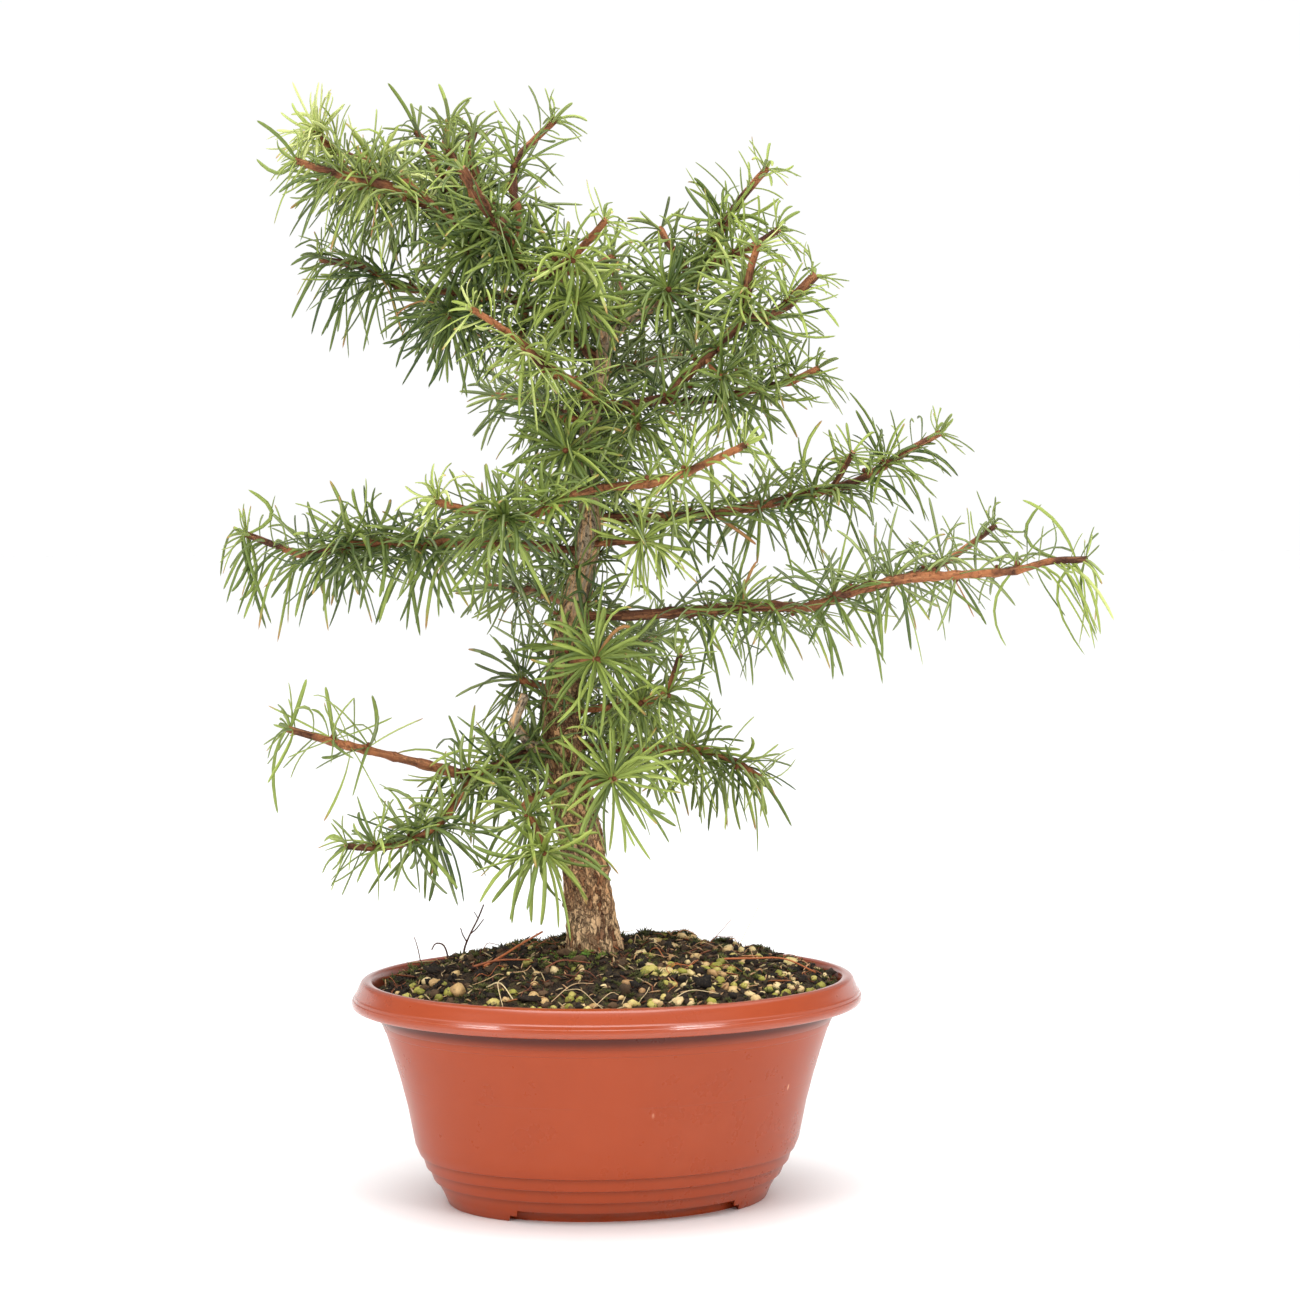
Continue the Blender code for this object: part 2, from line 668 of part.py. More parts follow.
def needle_solid(root, bend, tip):
    """A flat, three-sided needle with one bend, its root inside the stem."""
    root, bend, tip = Vector(root), Vector(bend), Vector(tip)
    ahead = (tip - root).normalized()
    flat = ahead.cross(Vector((0, 0, 1)))
    if flat.length < 0.2:
        flat = ahead.cross(Vector((0, 1, 0)))
    flat.normalize()
    upward = flat.cross(ahead)
    bm = bmesh.new()
    rings = []
    for centre, share in ((root, root_share), (bend, 1.0)):
        wide, thick = 0.5 * needle_width * share * flat, needle_thickness * share * upward
        corners = (centre - wide + thick * 0.35, centre + wide + thick * 0.35, centre - thick * 0.65)
        rings.append([bm.verts.new(placed(p)) for p in corners])
    end = bm.verts.new(placed(tip))
    bm.faces.new(rings[0])
    for i in range(3):
        j = (i + 1) % 3
        bm.faces.new((rings[0][i], rings[0][j], rings[1][j], rings[1][i]))
        bm.faces.new((rings[1][i], rings[1][j], end))
    return object_from(bm, "needle")


def try_needle(crowd, draw, owner, root, aim, long, end, ahead):
    """Bend the needle down a little. Redraw its aim and length until it is clear of the rest.

    The shoots are pruned, so no needle reaches far past the cut end.
    """
    for attempt in range(redraws):
        loose = 0.10 + 0.035 * attempt
        way = (aim + loose * Vector([draw.uniform(-1, 1) for _ in range(3)])).normalized()
        size = long * (1 - 0.012 * attempt)
        droop = draw.uniform(0.02, 0.17) * size
        bend = root + way * size * 0.55 + Vector((0, 0, 0.10 * droop))
        tip = root + way * size + Vector((0, 0, -droop))
        if ahead and (tip - end).dot(ahead) > past_the_cut + 0.3 * attempt:
            continue
        if needle_fits(crowd, root, bend, tip, owner):
            crowd.add(root, bend, 0.5 * needle_width, owner)
            crowd.add(bend, tip, 0.5 * needle_width, owner)
            return (root, bend, tip)
    return None


def grow_needles(crowd, draw, owner, route, first, bare_from=0.0, bare_to=0.0, spur=False):
    """Whorls along the older wood, single needles up the young shoot and a few at its tip."""
    needles = []
    young = max(first + 2.5, route.length - shoot_length)
    wanted = []
    turn = draw.uniform(0, 6.28)
    along = young
    if spur:
        young = route.length
    while along > first + 6 and not spur:
        turn += golden_angle
        outward = across_of(route.direction(along), turn)[0]
        forward = route.direction(along)
        for k in range(whorl_needles):
            open_angle = math.radians(18 + 78 * math.sqrt((k + 0.5) / whorl_needles))
            round_it = k * golden_angle + turn
            sideways, other = across_of(outward, round_it)
            aim = outward * math.cos(open_angle) + sideways * math.sin(open_angle)
            wanted.append((along + draw.uniform(-0.8, 0.8), aim + 0.15 * forward, 0.0))
        along -= whorl_step
    along = young
    while along < route.length - 1 and not spur:
        turn += golden_angle
        ahead = route.direction(along)
        outward = across_of(ahead, turn)[0]
        nearness = (along - young) / max(1.0, route.length - young)
        lean = math.radians(82 - 26 * nearness)
        wanted.append((along, ahead * math.cos(lean) + outward * math.sin(lean), 0.7 * nearness))
        along += shoot_step
    ahead = route.direction(route.length)
    ends = spur_needles if spur else tip_needles
    for k in range(ends):
        turn += golden_angle
        outward = across_of(ahead, turn)[0]
        narrowest, spread = (12, 100) if spur else (38, 40)
        lean = math.radians(narrowest + spread * math.sqrt((k + 0.4) / ends))
        aim = ahead * math.cos(lean) + outward * math.sin(lean)
        wanted.append((route.length - 1.2, aim, 0.0 if spur else 1.0))
    end = route.point(route.length)
    for along, aim, near_tip in wanted:
        if bare_from < along < bare_to:
            continue
        long = draw.uniform(shortest_needle, longest_needle)
        long += near_tip * (tip_needle - long)
        made = try_needle(
            crowd, draw, owner, route.point(along), aim.normalized(), long, end, None if spur else ahead,
        )
        if made:
            needles.append(made)
    return needles


def add_runs(crowd, line, radius, owner, first_skip=0.0):
    for k, (a, b) in enumerate(zip(line.line, line.line[1:])):
        start = a.lerp(b, first_skip / (b - a).length) if k == 0 else a
        crowd.add(start, b, radius, owner)


def settle_wood(crowd, routes):
    """Enter the wood and the core of every leafy stem before any needle is placed."""
    for below, above in zip(trunk_route, trunk_route[1:]):
        crowd.add(below[:3], above[:3], below[3] * 1.12, "wood")
    for points, start_radius, end_radius in limbs.values():
        route = Route(points)
        add_runs(crowd, cut_to(route, 0.0, route.length, limb_step), start_radius, "wood")
    for name, (points, start_radius, end_radius, bare) in stems.items():
        route = routes[name]
        add_runs(crowd, cut_to(route, 0.0, bare, core_step), start_radius, "wood")
        core_radius = start_radius + (end_radius - start_radius) * bare / route.length
        add_runs(crowd, cut_to(route, bare, route.length, core_step), core_radius, name, 2.0)
        for side_points, side_radius, _ in side_shoots.get(name, []):
            side = Route(side_points)
            add_runs(crowd, cut_to(side, 0.0, side.length, core_step), side_radius, name)


def build_sprays(routes):
    crowd = Crowd()
    settle_wood(crowd, routes)
    green = material("larch_needles", (0.115, 0.20, 0.045), 0.55)
    placed_needles = {}
    for name, reaching in reaching_needles.items():
        placed_needles[name] = []
        for along, bend, tip in reaching:
            bare, route = stems[name][3], routes[name]
            line = cut_to(route, bare, route.length, core_step)
            root = line.point(min(along, line.length - 1.2))
            crowd.add(root, bend, 0.5 * needle_width, name)
            crowd.add(bend, tip, 0.5 * needle_width, name)
            placed_needles[name].append((root, bend, tip))
    total = 0
    for order, (name, (points, start_radius, end_radius, bare)) in enumerate(stems.items()):
        draw = random.Random(seed + order)
        route = routes[name]
        spur = name.startswith("spur")
        bare_from, bare_to = bare_stretches.get(name, (0.0, 0.0))
        needles = placed_needles.get(name, [])
        line = cut_to(route, bare, route.length, core_step)
        needles += grow_needles(crowd, draw, name, line, 3.0, bare_from, bare_to, spur)
        core_radius = start_radius + (end_radius - start_radius) * bare / route.length
        first_way, last_way = route.direction(bare), route.direction(route.length)
        core = tube(
            "spray_" + name, line, first_way, last_way, core_radius, end_radius, core_sides, green, joint_gap,
        )
        pieces = []
        for side_points, side_start, side_end in side_shoots.get(name, []):
            side = Route(side_points)
            side_line = cut_to(side, 0.0, side.length, core_step)
            ways = side.direction(0.0), side.direction(side.length)
            pieces.append(tube("side", side_line, *ways, side_start, side_end, core_sides))
            needles += grow_needles(crowd, draw, name, side_line, 4.0)
        pieces += [needle_solid(*needle) for needle in needles]
        join_all(core, pieces)
        total += len(needles)
        print(name, len(needles), "needles", len(core.data.polygons), "faces")
    print("needles in all", total)


def main():
    clear_scene()
    build_pot()
    build_soil()
    routes = {name: Route(stem[0]) for name, stem in stems.items()}
    build_wood(routes)
    build_sprays(routes)


main()
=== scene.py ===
import math
import random

import bpy
import numpy as np
from mathutils import Matrix, Vector, noise


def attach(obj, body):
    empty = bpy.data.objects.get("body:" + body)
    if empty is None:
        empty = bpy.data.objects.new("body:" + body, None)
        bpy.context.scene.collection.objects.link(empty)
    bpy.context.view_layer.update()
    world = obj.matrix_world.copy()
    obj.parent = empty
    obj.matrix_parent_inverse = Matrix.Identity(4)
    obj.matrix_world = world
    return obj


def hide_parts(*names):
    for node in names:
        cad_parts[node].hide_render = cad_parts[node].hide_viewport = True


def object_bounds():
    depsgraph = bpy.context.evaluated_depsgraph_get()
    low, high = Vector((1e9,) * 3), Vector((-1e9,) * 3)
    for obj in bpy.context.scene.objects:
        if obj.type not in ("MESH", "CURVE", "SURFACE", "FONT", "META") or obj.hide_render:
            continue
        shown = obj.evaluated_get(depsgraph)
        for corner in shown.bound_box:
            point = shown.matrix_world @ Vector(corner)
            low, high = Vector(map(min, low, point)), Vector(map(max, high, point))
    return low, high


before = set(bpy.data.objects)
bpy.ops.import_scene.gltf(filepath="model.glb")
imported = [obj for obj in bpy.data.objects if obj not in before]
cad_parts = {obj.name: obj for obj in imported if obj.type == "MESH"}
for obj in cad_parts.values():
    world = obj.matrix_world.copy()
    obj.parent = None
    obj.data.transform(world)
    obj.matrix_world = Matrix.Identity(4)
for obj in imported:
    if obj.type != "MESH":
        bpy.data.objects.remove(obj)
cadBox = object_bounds()
print("frame loaded", len(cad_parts), "nodes")

mm = 0.001
treeTurn = Matrix.Rotation(math.radians(-12.0), 3, "Z")
goldenAngle = math.radians(137.508)


# Picking, editing and finishing, as by hand

def letGo():
    if bpy.context.object and bpy.context.object.mode != "OBJECT":
        bpy.ops.object.mode_set(mode="OBJECT")
    bpy.ops.object.select_all(action="DESELECT")


def pick(piece):
    letGo()
    bpy.context.view_layer.objects.active = piece
    piece.select_set(True)


def modify(piece, kind, **settings):
    pick(piece)
    modifier = piece.modifiers.new(kind.lower(), kind)
    for key, value in settings.items():
        setattr(modifier, key, value)
    bpy.ops.object.modifier_apply(modifier=modifier.name)


def settle(piece):
    pick(piece)
    bpy.ops.object.transform_apply(location=True, rotation=True, scale=True)


def nextRing(rise, wider, deeper):
    bpy.ops.mesh.extrude_region_move(TRANSFORM_OT_translate={"value": (0, 0, rise * mm)})
    bpy.ops.transform.resize(value=(wider, deeper, 1), center_override=(0, 0, 0))


def facedOut():
    bpy.ops.mesh.select_all(action="SELECT")
    bpy.ops.mesh.normals_make_consistent(inside=False)
    bpy.ops.object.mode_set(mode="OBJECT")


def hand(piece, name, finish, slot, *stoodFor):
    piece.name = name
    piece.data.name = name
    piece.data.materials.clear()
    piece.data.materials.append(finish)
    piece.hide_render = False
    piece.hide_viewport = False
    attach(piece, "root")
    if stoodFor:
        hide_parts(*stoodFor)
    return piece


def store(mesh, **perPoint):
    for key, values in perPoint.items():
        values = np.asarray(values, dtype=np.float32)
        kind, slotName = ("FLOAT_VECTOR", "vector") if values.ndim == 2 else ("FLOAT", "value")
        mesh.attributes.new(key, kind, "POINT").data.foreach_set(slotName, values.ravel())


def shifted(faces, base):
    return [tuple(base + c for c in face) for face in faces]


def fromPoints(name, points, faces, **perPoint):
    mesh = bpy.data.meshes.new(name)
    mesh.from_pydata(np.asarray(points).tolist(), [], faces)
    store(mesh, **perPoint)
    mesh.shade_smooth()
    made = bpy.data.objects.new(name, mesh)
    bpy.context.scene.collection.objects.link(made)
    return made


# Shaders written as sums

class Wire:
    def __init__(self, shader, socket):
        self.shader, self.socket = shader, socket

    def sum(self, operation, *others):
        return self.shader.add("ShaderNodeMath", {"operation": operation}, dict(enumerate(others)))

    def __add__(self, other):
        return self.sum("ADD", self, other)

    def __radd__(self, other):
        return self.sum("ADD", other, self)

    def __sub__(self, other):
        return self.sum("SUBTRACT", self, other)

    def __rsub__(self, other):
        return self.sum("SUBTRACT", other, self)

    def __mul__(self, other):
        return self.sum("MULTIPLY", self, other)

    def __rmul__(self, other):
        return self.sum("MULTIPLY", other, self)

    def __truediv__(self, other):
        return self.sum("DIVIDE", self, other)

    def __pow__(self, other):
        return self.sum("POWER", self, other)

    def clamped(self):
        return self.sum("MINIMUM", self.sum("MAXIMUM", self, 0.0), 1.0)

    def distanceTo(self, place):
        return self.sum("ABSOLUTE", self - place)

    def rising(self, low, high):  # 0 below low, 1 above high, smooth between
        return self.shader.add(
            "ShaderNodeMapRange", {"interpolation_type": "SMOOTHSTEP"},
            {"Value": self, "From Min": low, "From Max": high},
        )


def setStops(ramp, stops):
    for _ in stops[2:]:
        ramp.elements.new(0.5)
    for element, (place, colour) in zip(ramp.elements, stops):
        element.position = place
        element.color = (*colour, 1.0)


class Shader:
    def __init__(self, name):
        self.material = bpy.data.materials.new(name)
        self.material.use_nodes = True
        self.tree = self.material.node_tree
        self.base = self.tree.nodes["Principled BSDF"]

    def add(self, kind, settings=None, sockets=None, output=0):
        made = self.tree.nodes.new(kind)
        for key, value in (settings or {}).items():
            if key == "stops":
                setStops(made.color_ramp, value)
            else:
                setattr(made, key, value)
        for key, value in (sockets or {}).items():
            self.plug(made.inputs[key], value)
        return Wire(self, made.outputs[output])

    def plug(self, socket, value):
        if isinstance(value, Wire):
            self.tree.links.new(value.socket, socket)
        elif isinstance(value, tuple) and len(value) == 3 and socket.type == "RGBA":
            socket.default_value = (*value, 1.0)
        else:
            socket.default_value = value

    def place(self):
        return self.add("ShaderNodeTexCoord", output="Object")

    def along(self, vector, axis):
        return self.add("ShaderNodeSeparateXYZ", None, {0: vector}, output="XYZ".index(axis))

    def reading(self, name, output="Fac"):
        return self.add("ShaderNodeAttribute", {"attribute_name": name}, output=output)

    def stretched(self, vector, scale):
        return self.add("ShaderNodeVectorMath", {"operation": "MULTIPLY"}, {0: vector, 1: scale})

    def noise(self, vector, scale, detail=3.0, rough=0.55, twist=0.0):
        return self.add(
            "ShaderNodeTexNoise", None,
            {"Vector": vector, "Scale": scale, "Detail": detail, "Roughness": rough, "Distortion": twist},
        )

    def cells(self, vector, scale, output="Distance", feature="F1"):
        sockets = {"Vector": vector, "Scale": scale}
        return self.add("ShaderNodeTexVoronoi", {"feature": feature}, sockets, output)

    def blend(self, share, first, second):
        sockets = {0: share, 6: first, 7: second}
        return self.add("ShaderNodeMix", {"data_type": "RGBA"}, sockets, output=2)

    def ramp(self, value, stops):
        return self.add("ShaderNodeValToRGB", {"stops": stops}, {0: value})

    def bumped(self, height, distance, strength=1.0):
        sockets = {"Height": height, "Distance": distance, "Strength": strength}
        return self.add("ShaderNodeBump", None, sockets)

    def finished(self, colour, rough, normal=None, **constants):
        self.plug(self.base.inputs["Base Color"], colour)
        self.plug(self.base.inputs["Roughness"], rough)
        if normal:
            self.plug(self.base.inputs["Normal"], normal)
        for key, value in constants.items():
            self.base.inputs[key.replace("_", " ")].default_value = value
        return self.material


# Pot

potLook = {
    "clay": (0.325, 0.049, 0.0115), "clayDark": (0.285, 0.041, 0.0090), "clayPale": (0.390, 0.067, 0.018),
    "shaded": (0.060, 0.007, 0.002), "scuff": (0.80, 0.42, 0.27), "mark": (0.255, 0.062, 0.034),
    "grime": (0.23, 0.075, 0.04), "lime": (0.76, 0.36, 0.24),
    "rough": 0.27, "specular": 0.28, "lipCoat": 0.75, "coatRough": 0.13, "relief": 0.00014,
    # heights in metres
    "mouldLine": 0.0612, "collar": 0.0876, "upperCollar": 0.0914, "ledges": (0.0115, 0.0180, 0.0246),
}


def pottedPlastic():
    s = Shader("terracottaPlastic")
    where = s.place()
    height = s.along(where, "Z")
    broad = s.noise(where, 14.0, 2.0)
    cloudy = s.noise(where, 75.0, 4.0, 0.6)
    fine = s.noise(where, 1500.0, 2.0, 0.5)
    streaks = s.noise(s.stretched(where, (60.0, 60.0, 700.0)), 1.0, 3.0, 0.65)
    colour = s.blend(broad.rising(0.35, 0.68) * 0.35, potLook["clay"], potLook["clayDark"])
    colour = s.blend(cloudy.rising(0.40, 0.80) * 0.14, colour, potLook["clayPale"])
    colour = s.blend(streaks.rising(0.60, 0.80) * 0.14, colour, potLook["clayDark"])
    scuffCells = s.cells(s.stretched(where, (55.0, 55.0, 17.0)), 1.0)
    scuffChance = s.noise(where, 21.0, 1.0)
    scuffs = (1.0 - scuffCells.rising(0.015, 0.050)) * scuffChance.rising(0.54, 0.60)
    colour = s.blend(scuffs * 0.75, colour, potLook["scuff"])
    line = 1.0 - height.distanceTo(potLook["mouldLine"]).rising(0.00008, 0.00040)
    lineBreak = s.noise(where, 30.0, 1.0).rising(0.42, 0.55)
    collar = 1.0 - height.distanceTo(potLook["collar"]).rising(0.0001, 0.0005)
    upperCollar = 1.0 - height.distanceTo(potLook["upperCollar"]).rising(0.0001, 0.0005)
    marks = (line * lineBreak * 0.55 + collar * 0.6 + upperCollar * 0.4).clamped()
    colour = s.blend(marks * 0.45, colour, potLook["mark"])
    # painted shade: the band just under the lip is darkened towards the shaded colour, standing in for the
    # lip's shadow
    underLipShade = height.rising(0.0885, 0.0965) * (1.0 - height.rising(0.0986, 0.0992))
    colour = s.blend(underLipShade * 0.95, colour, potLook["shaded"])
    # painted shade: a thin band under each ledge is darkened towards the shaded colour, as if shadowed by the
    # ledge above it
    for ledge in potLook["ledges"]:
        under = height.rising(ledge - 0.0030, ledge) * (1.0 - height.rising(ledge + 0.0001, ledge + 0.0006))
        colour = s.blend(under * 0.34, colour, potLook["shaded"])
    grime = (1.0 - height.rising(0.002, 0.016)) * s.noise(where, 120.0, 5.0, 0.7).rising(0.45, 0.7)
    colour = s.blend(grime * 0.35, colour, potLook["grime"])
    lime = s.noise(where, 9.0, 4.0, 0.60).rising(0.50, 0.90) * 0.04
    colour = s.blend(lime, colour, potLook["lime"])
    rough = potLook["rough"] + 0.08 * cloudy - 0.05 * broad + 0.2 * scuffs
    relief = fine * 0.12 + cloudy * 0.02 + streaks * 0.22 - marks * 0.9 + scuffs * 0.5
    lip = height.rising(0.0990, 0.1000)  # glossier than the rest
    s.plug(s.base.inputs["Coat Weight"], lip * potLook["lipCoat"])
    return s.finished(
        colour, rough, s.bumped(relief, potLook["relief"], 0.5),
        Specular_IOR_Level=potLook["specular"], Coat_Roughness=potLook["coatRough"],
    )


potShape = {
    "halfLength": 129.0, "halfWidth": 107.0, "sides": 192,
    # how far in from the lip, and how high, up the outside
    "outside": [
        (48.5, 0.0), (47.9, 0.5), (45.5, 6.0), (42.7, 11.0), (42.2, 11.7), (40.9, 12.05), (40.5, 12.6),
        (38.7, 17.5), (38.2, 18.2), (37.1, 18.55), (36.7, 19.1), (35.2, 24.0), (34.8, 24.7),
        (33.9, 25.05), (33.5, 25.6), (31.4, 30.6), (27.7, 49.4), (24.0, 63.7), (20.5, 75.4),
        (18.0, 83.4), (16.7, 87.4), (16.3, 87.7), (15.0, 91.2), (14.6, 91.5), (13.2, 94.6),
        (12.3, 96.9), (11.4, 97.7), (8.0, 98.6), (2.6, 98.9), (1.2, 99.2), (0.4, 99.8), (0.0, 100.8),
        (0.05, 102.2), (0.4, 103.3), (0.95, 103.7), (1.1, 104.2), (1.3, 105.0), (1.75, 105.4),
        (2.0, 105.9), (3.3, 108.8), (4.3, 110.9), (4.8, 111.7), (5.5, 112.2), (5.9, 112.25),
        (6.2, 112.45), (7.6, 112.6),
    ],
    # over the lip's inner edge and down the inside
    "inside": [
        (8.8, 112.55), (9.8, 112.1), (10.5, 110.9), (10.9, 109.0),
        (15.4, 96.0), (26.4, 63.7), (33.8, 30.6), (45.0, 12.0), (47.0, 8.8), (57.0, 3.2),
    ],
    # under each long side: half the length and the height of the arch and of the step round it
    "arches": ((54.5, 6.0), (57.5, 3.0)), "archDeep": 96.0, "panHalfLength": 75.5, "panHalfWidth": 53.5,
    "drainRadius": 4.5, "drains": [(38.0, 0.0), (-38.0, 0.0), (0.0, 27.0), (0.0, -27.0)],
    "bevel": 0.25, "bevelAngle": 50, "smoothAngle": 32,
}


def archCutter(halfLength, height, side):
    bpy.ops.mesh.primitive_cube_add(size=mm)  # a block under one long side, hollowed to go round the pan
    block = bpy.context.object
    block.scale = (2 * halfLength, potShape["archDeep"], height + 2.0)
    block.location = (0, side * potShape["archDeep"] / 2 * mm, (height - 2.0) / 2 * mm)
    settle(block)
    bpy.ops.mesh.primitive_cylinder_add(vertices=96, radius=mm, depth=30 * mm)
    pan = bpy.context.object
    pan.scale = (potShape["panHalfLength"], potShape["panHalfWidth"], 1.0)
    settle(pan)
    modify(block, "BOOLEAN", object=pan, operation="DIFFERENCE", solver="EXACT")
    bpy.data.objects.remove(pan)
    return block


def makePot():
    halfLength, halfWidth = potShape["halfLength"], potShape["halfWidth"]
    rings = potShape["outside"] + potShape["inside"]
    letGo()
    bpy.ops.mesh.primitive_circle_add(vertices=potShape["sides"], radius=mm, fill_type="NGON")
    pot = bpy.context.object
    bpy.ops.object.mode_set(mode="EDIT")
    bpy.ops.mesh.select_all(action="SELECT")
    inset, height = rings[0]
    bpy.ops.transform.resize(value=(halfLength - inset, halfWidth - inset, 1), center_override=(0, 0, 0))
    for nextInset, nextHeight in rings[1:]:
        wider = (halfLength - nextInset) / (halfLength - inset)
        deeper = (halfWidth - nextInset) / (halfWidth - inset)
        nextRing(nextHeight - height, wider, deeper)
        inset, height = nextInset, nextHeight
    facedOut()
    for side in (-1, 1):
        for half, tall in potShape["arches"]:
            cutter = archCutter(half, tall, side)
            modify(pot, "BOOLEAN", object=cutter, operation="DIFFERENCE", solver="EXACT")
            bpy.data.objects.remove(cutter)
    for x, y in potShape["drains"]:
        bpy.ops.mesh.primitive_cylinder_add(
            vertices=32, radius=potShape["drainRadius"] * mm, depth=20 * mm, location=(x * mm, y * mm, 0),
        )
        drill = bpy.context.object
        modify(pot, "BOOLEAN", object=drill, operation="DIFFERENCE", solver="EXACT")
        bpy.data.objects.remove(drill)
    modify(
        pot, "BEVEL", width=potShape["bevel"] * mm, segments=2, limit_method="ANGLE",
        angle_limit=math.radians(potShape["bevelAngle"]),
    )
    pick(pot)
    bpy.ops.object.shade_smooth_by_angle(angle=math.radians(potShape["smoothAngle"]))
    return hand(pot, "pot_shell", pottedPlastic(), "terracotta_plastic", "pot")


# Tree routes: across, away and up as seen from the tree's best side, in millimetres

trunkRoute = [  # with the radius
    (-7, 0, 123, 14.7), (-8, 0, 131, 13.2), (-9, 1, 148, 12.0), (-13, 2, 176, 11.4), (-19, 4, 206, 10.6),
    (-24, 6, 236, 9.8), (-22, 5, 266, 9.2), (-17, 2, 297, 7.6), (-10, 0, 327, 6.2), (-9, -2, 352, 5.6),
    (-11, -3, 372, 5.2), (-9, -2, 389, 4.9), (-4, 0, 412, 4.4), (0, 0, 436, 3.8),
]
trunkHeights = [p[2] for p in trunkRoute]

# Bare limbs: route, radius at root and tip
limbs = {
    "right": ([(0, 0, 430), (11, 4, 443), (26, 10, 449), (41, 14, 460), (45, 15, 464)], 3.4, 2.9),
    "left": ([(-1, 0, 428), (-8, -4, 444), (-18, -8, 456), (-31, -12, 464), (-43, -15, 468)], 3.4, 2.9),
    "far_left": ([(-43, -15, 468), (-57, -10, 477), (-73, -4, 489), (-90, 0, 498)], 2.9, 2.4),
    "second_left": (
        [(-8, 0, 423), (-24, 8, 441), (-41, 14, 450), (-58, 20, 456), (-78, 26, 457), (-107, 30, 459)],
        3.0, 2.3,
    ),
    "upper_right": (
        [(-4, -2, 399), (10, -8, 399), (23, -12, 399), (35, -14, 407), (45, -16, 420), (56, -16, 429),
         (68, -16, 442)],
        3.0, 2.5,
    ),
    "front_fork": ([(-9, -3, 356), (-6, -14, 357), (-2, -26, 358)], 2.6, 2.3),
    "dead_snag": (
        [(-26, 6, 227), (-37, -2, 228), (-43, -6, 233), (-47, -8, 239), (-46, -9, 247), (-41, -10, 255)],
        3.2, 2.7,
    ),
}

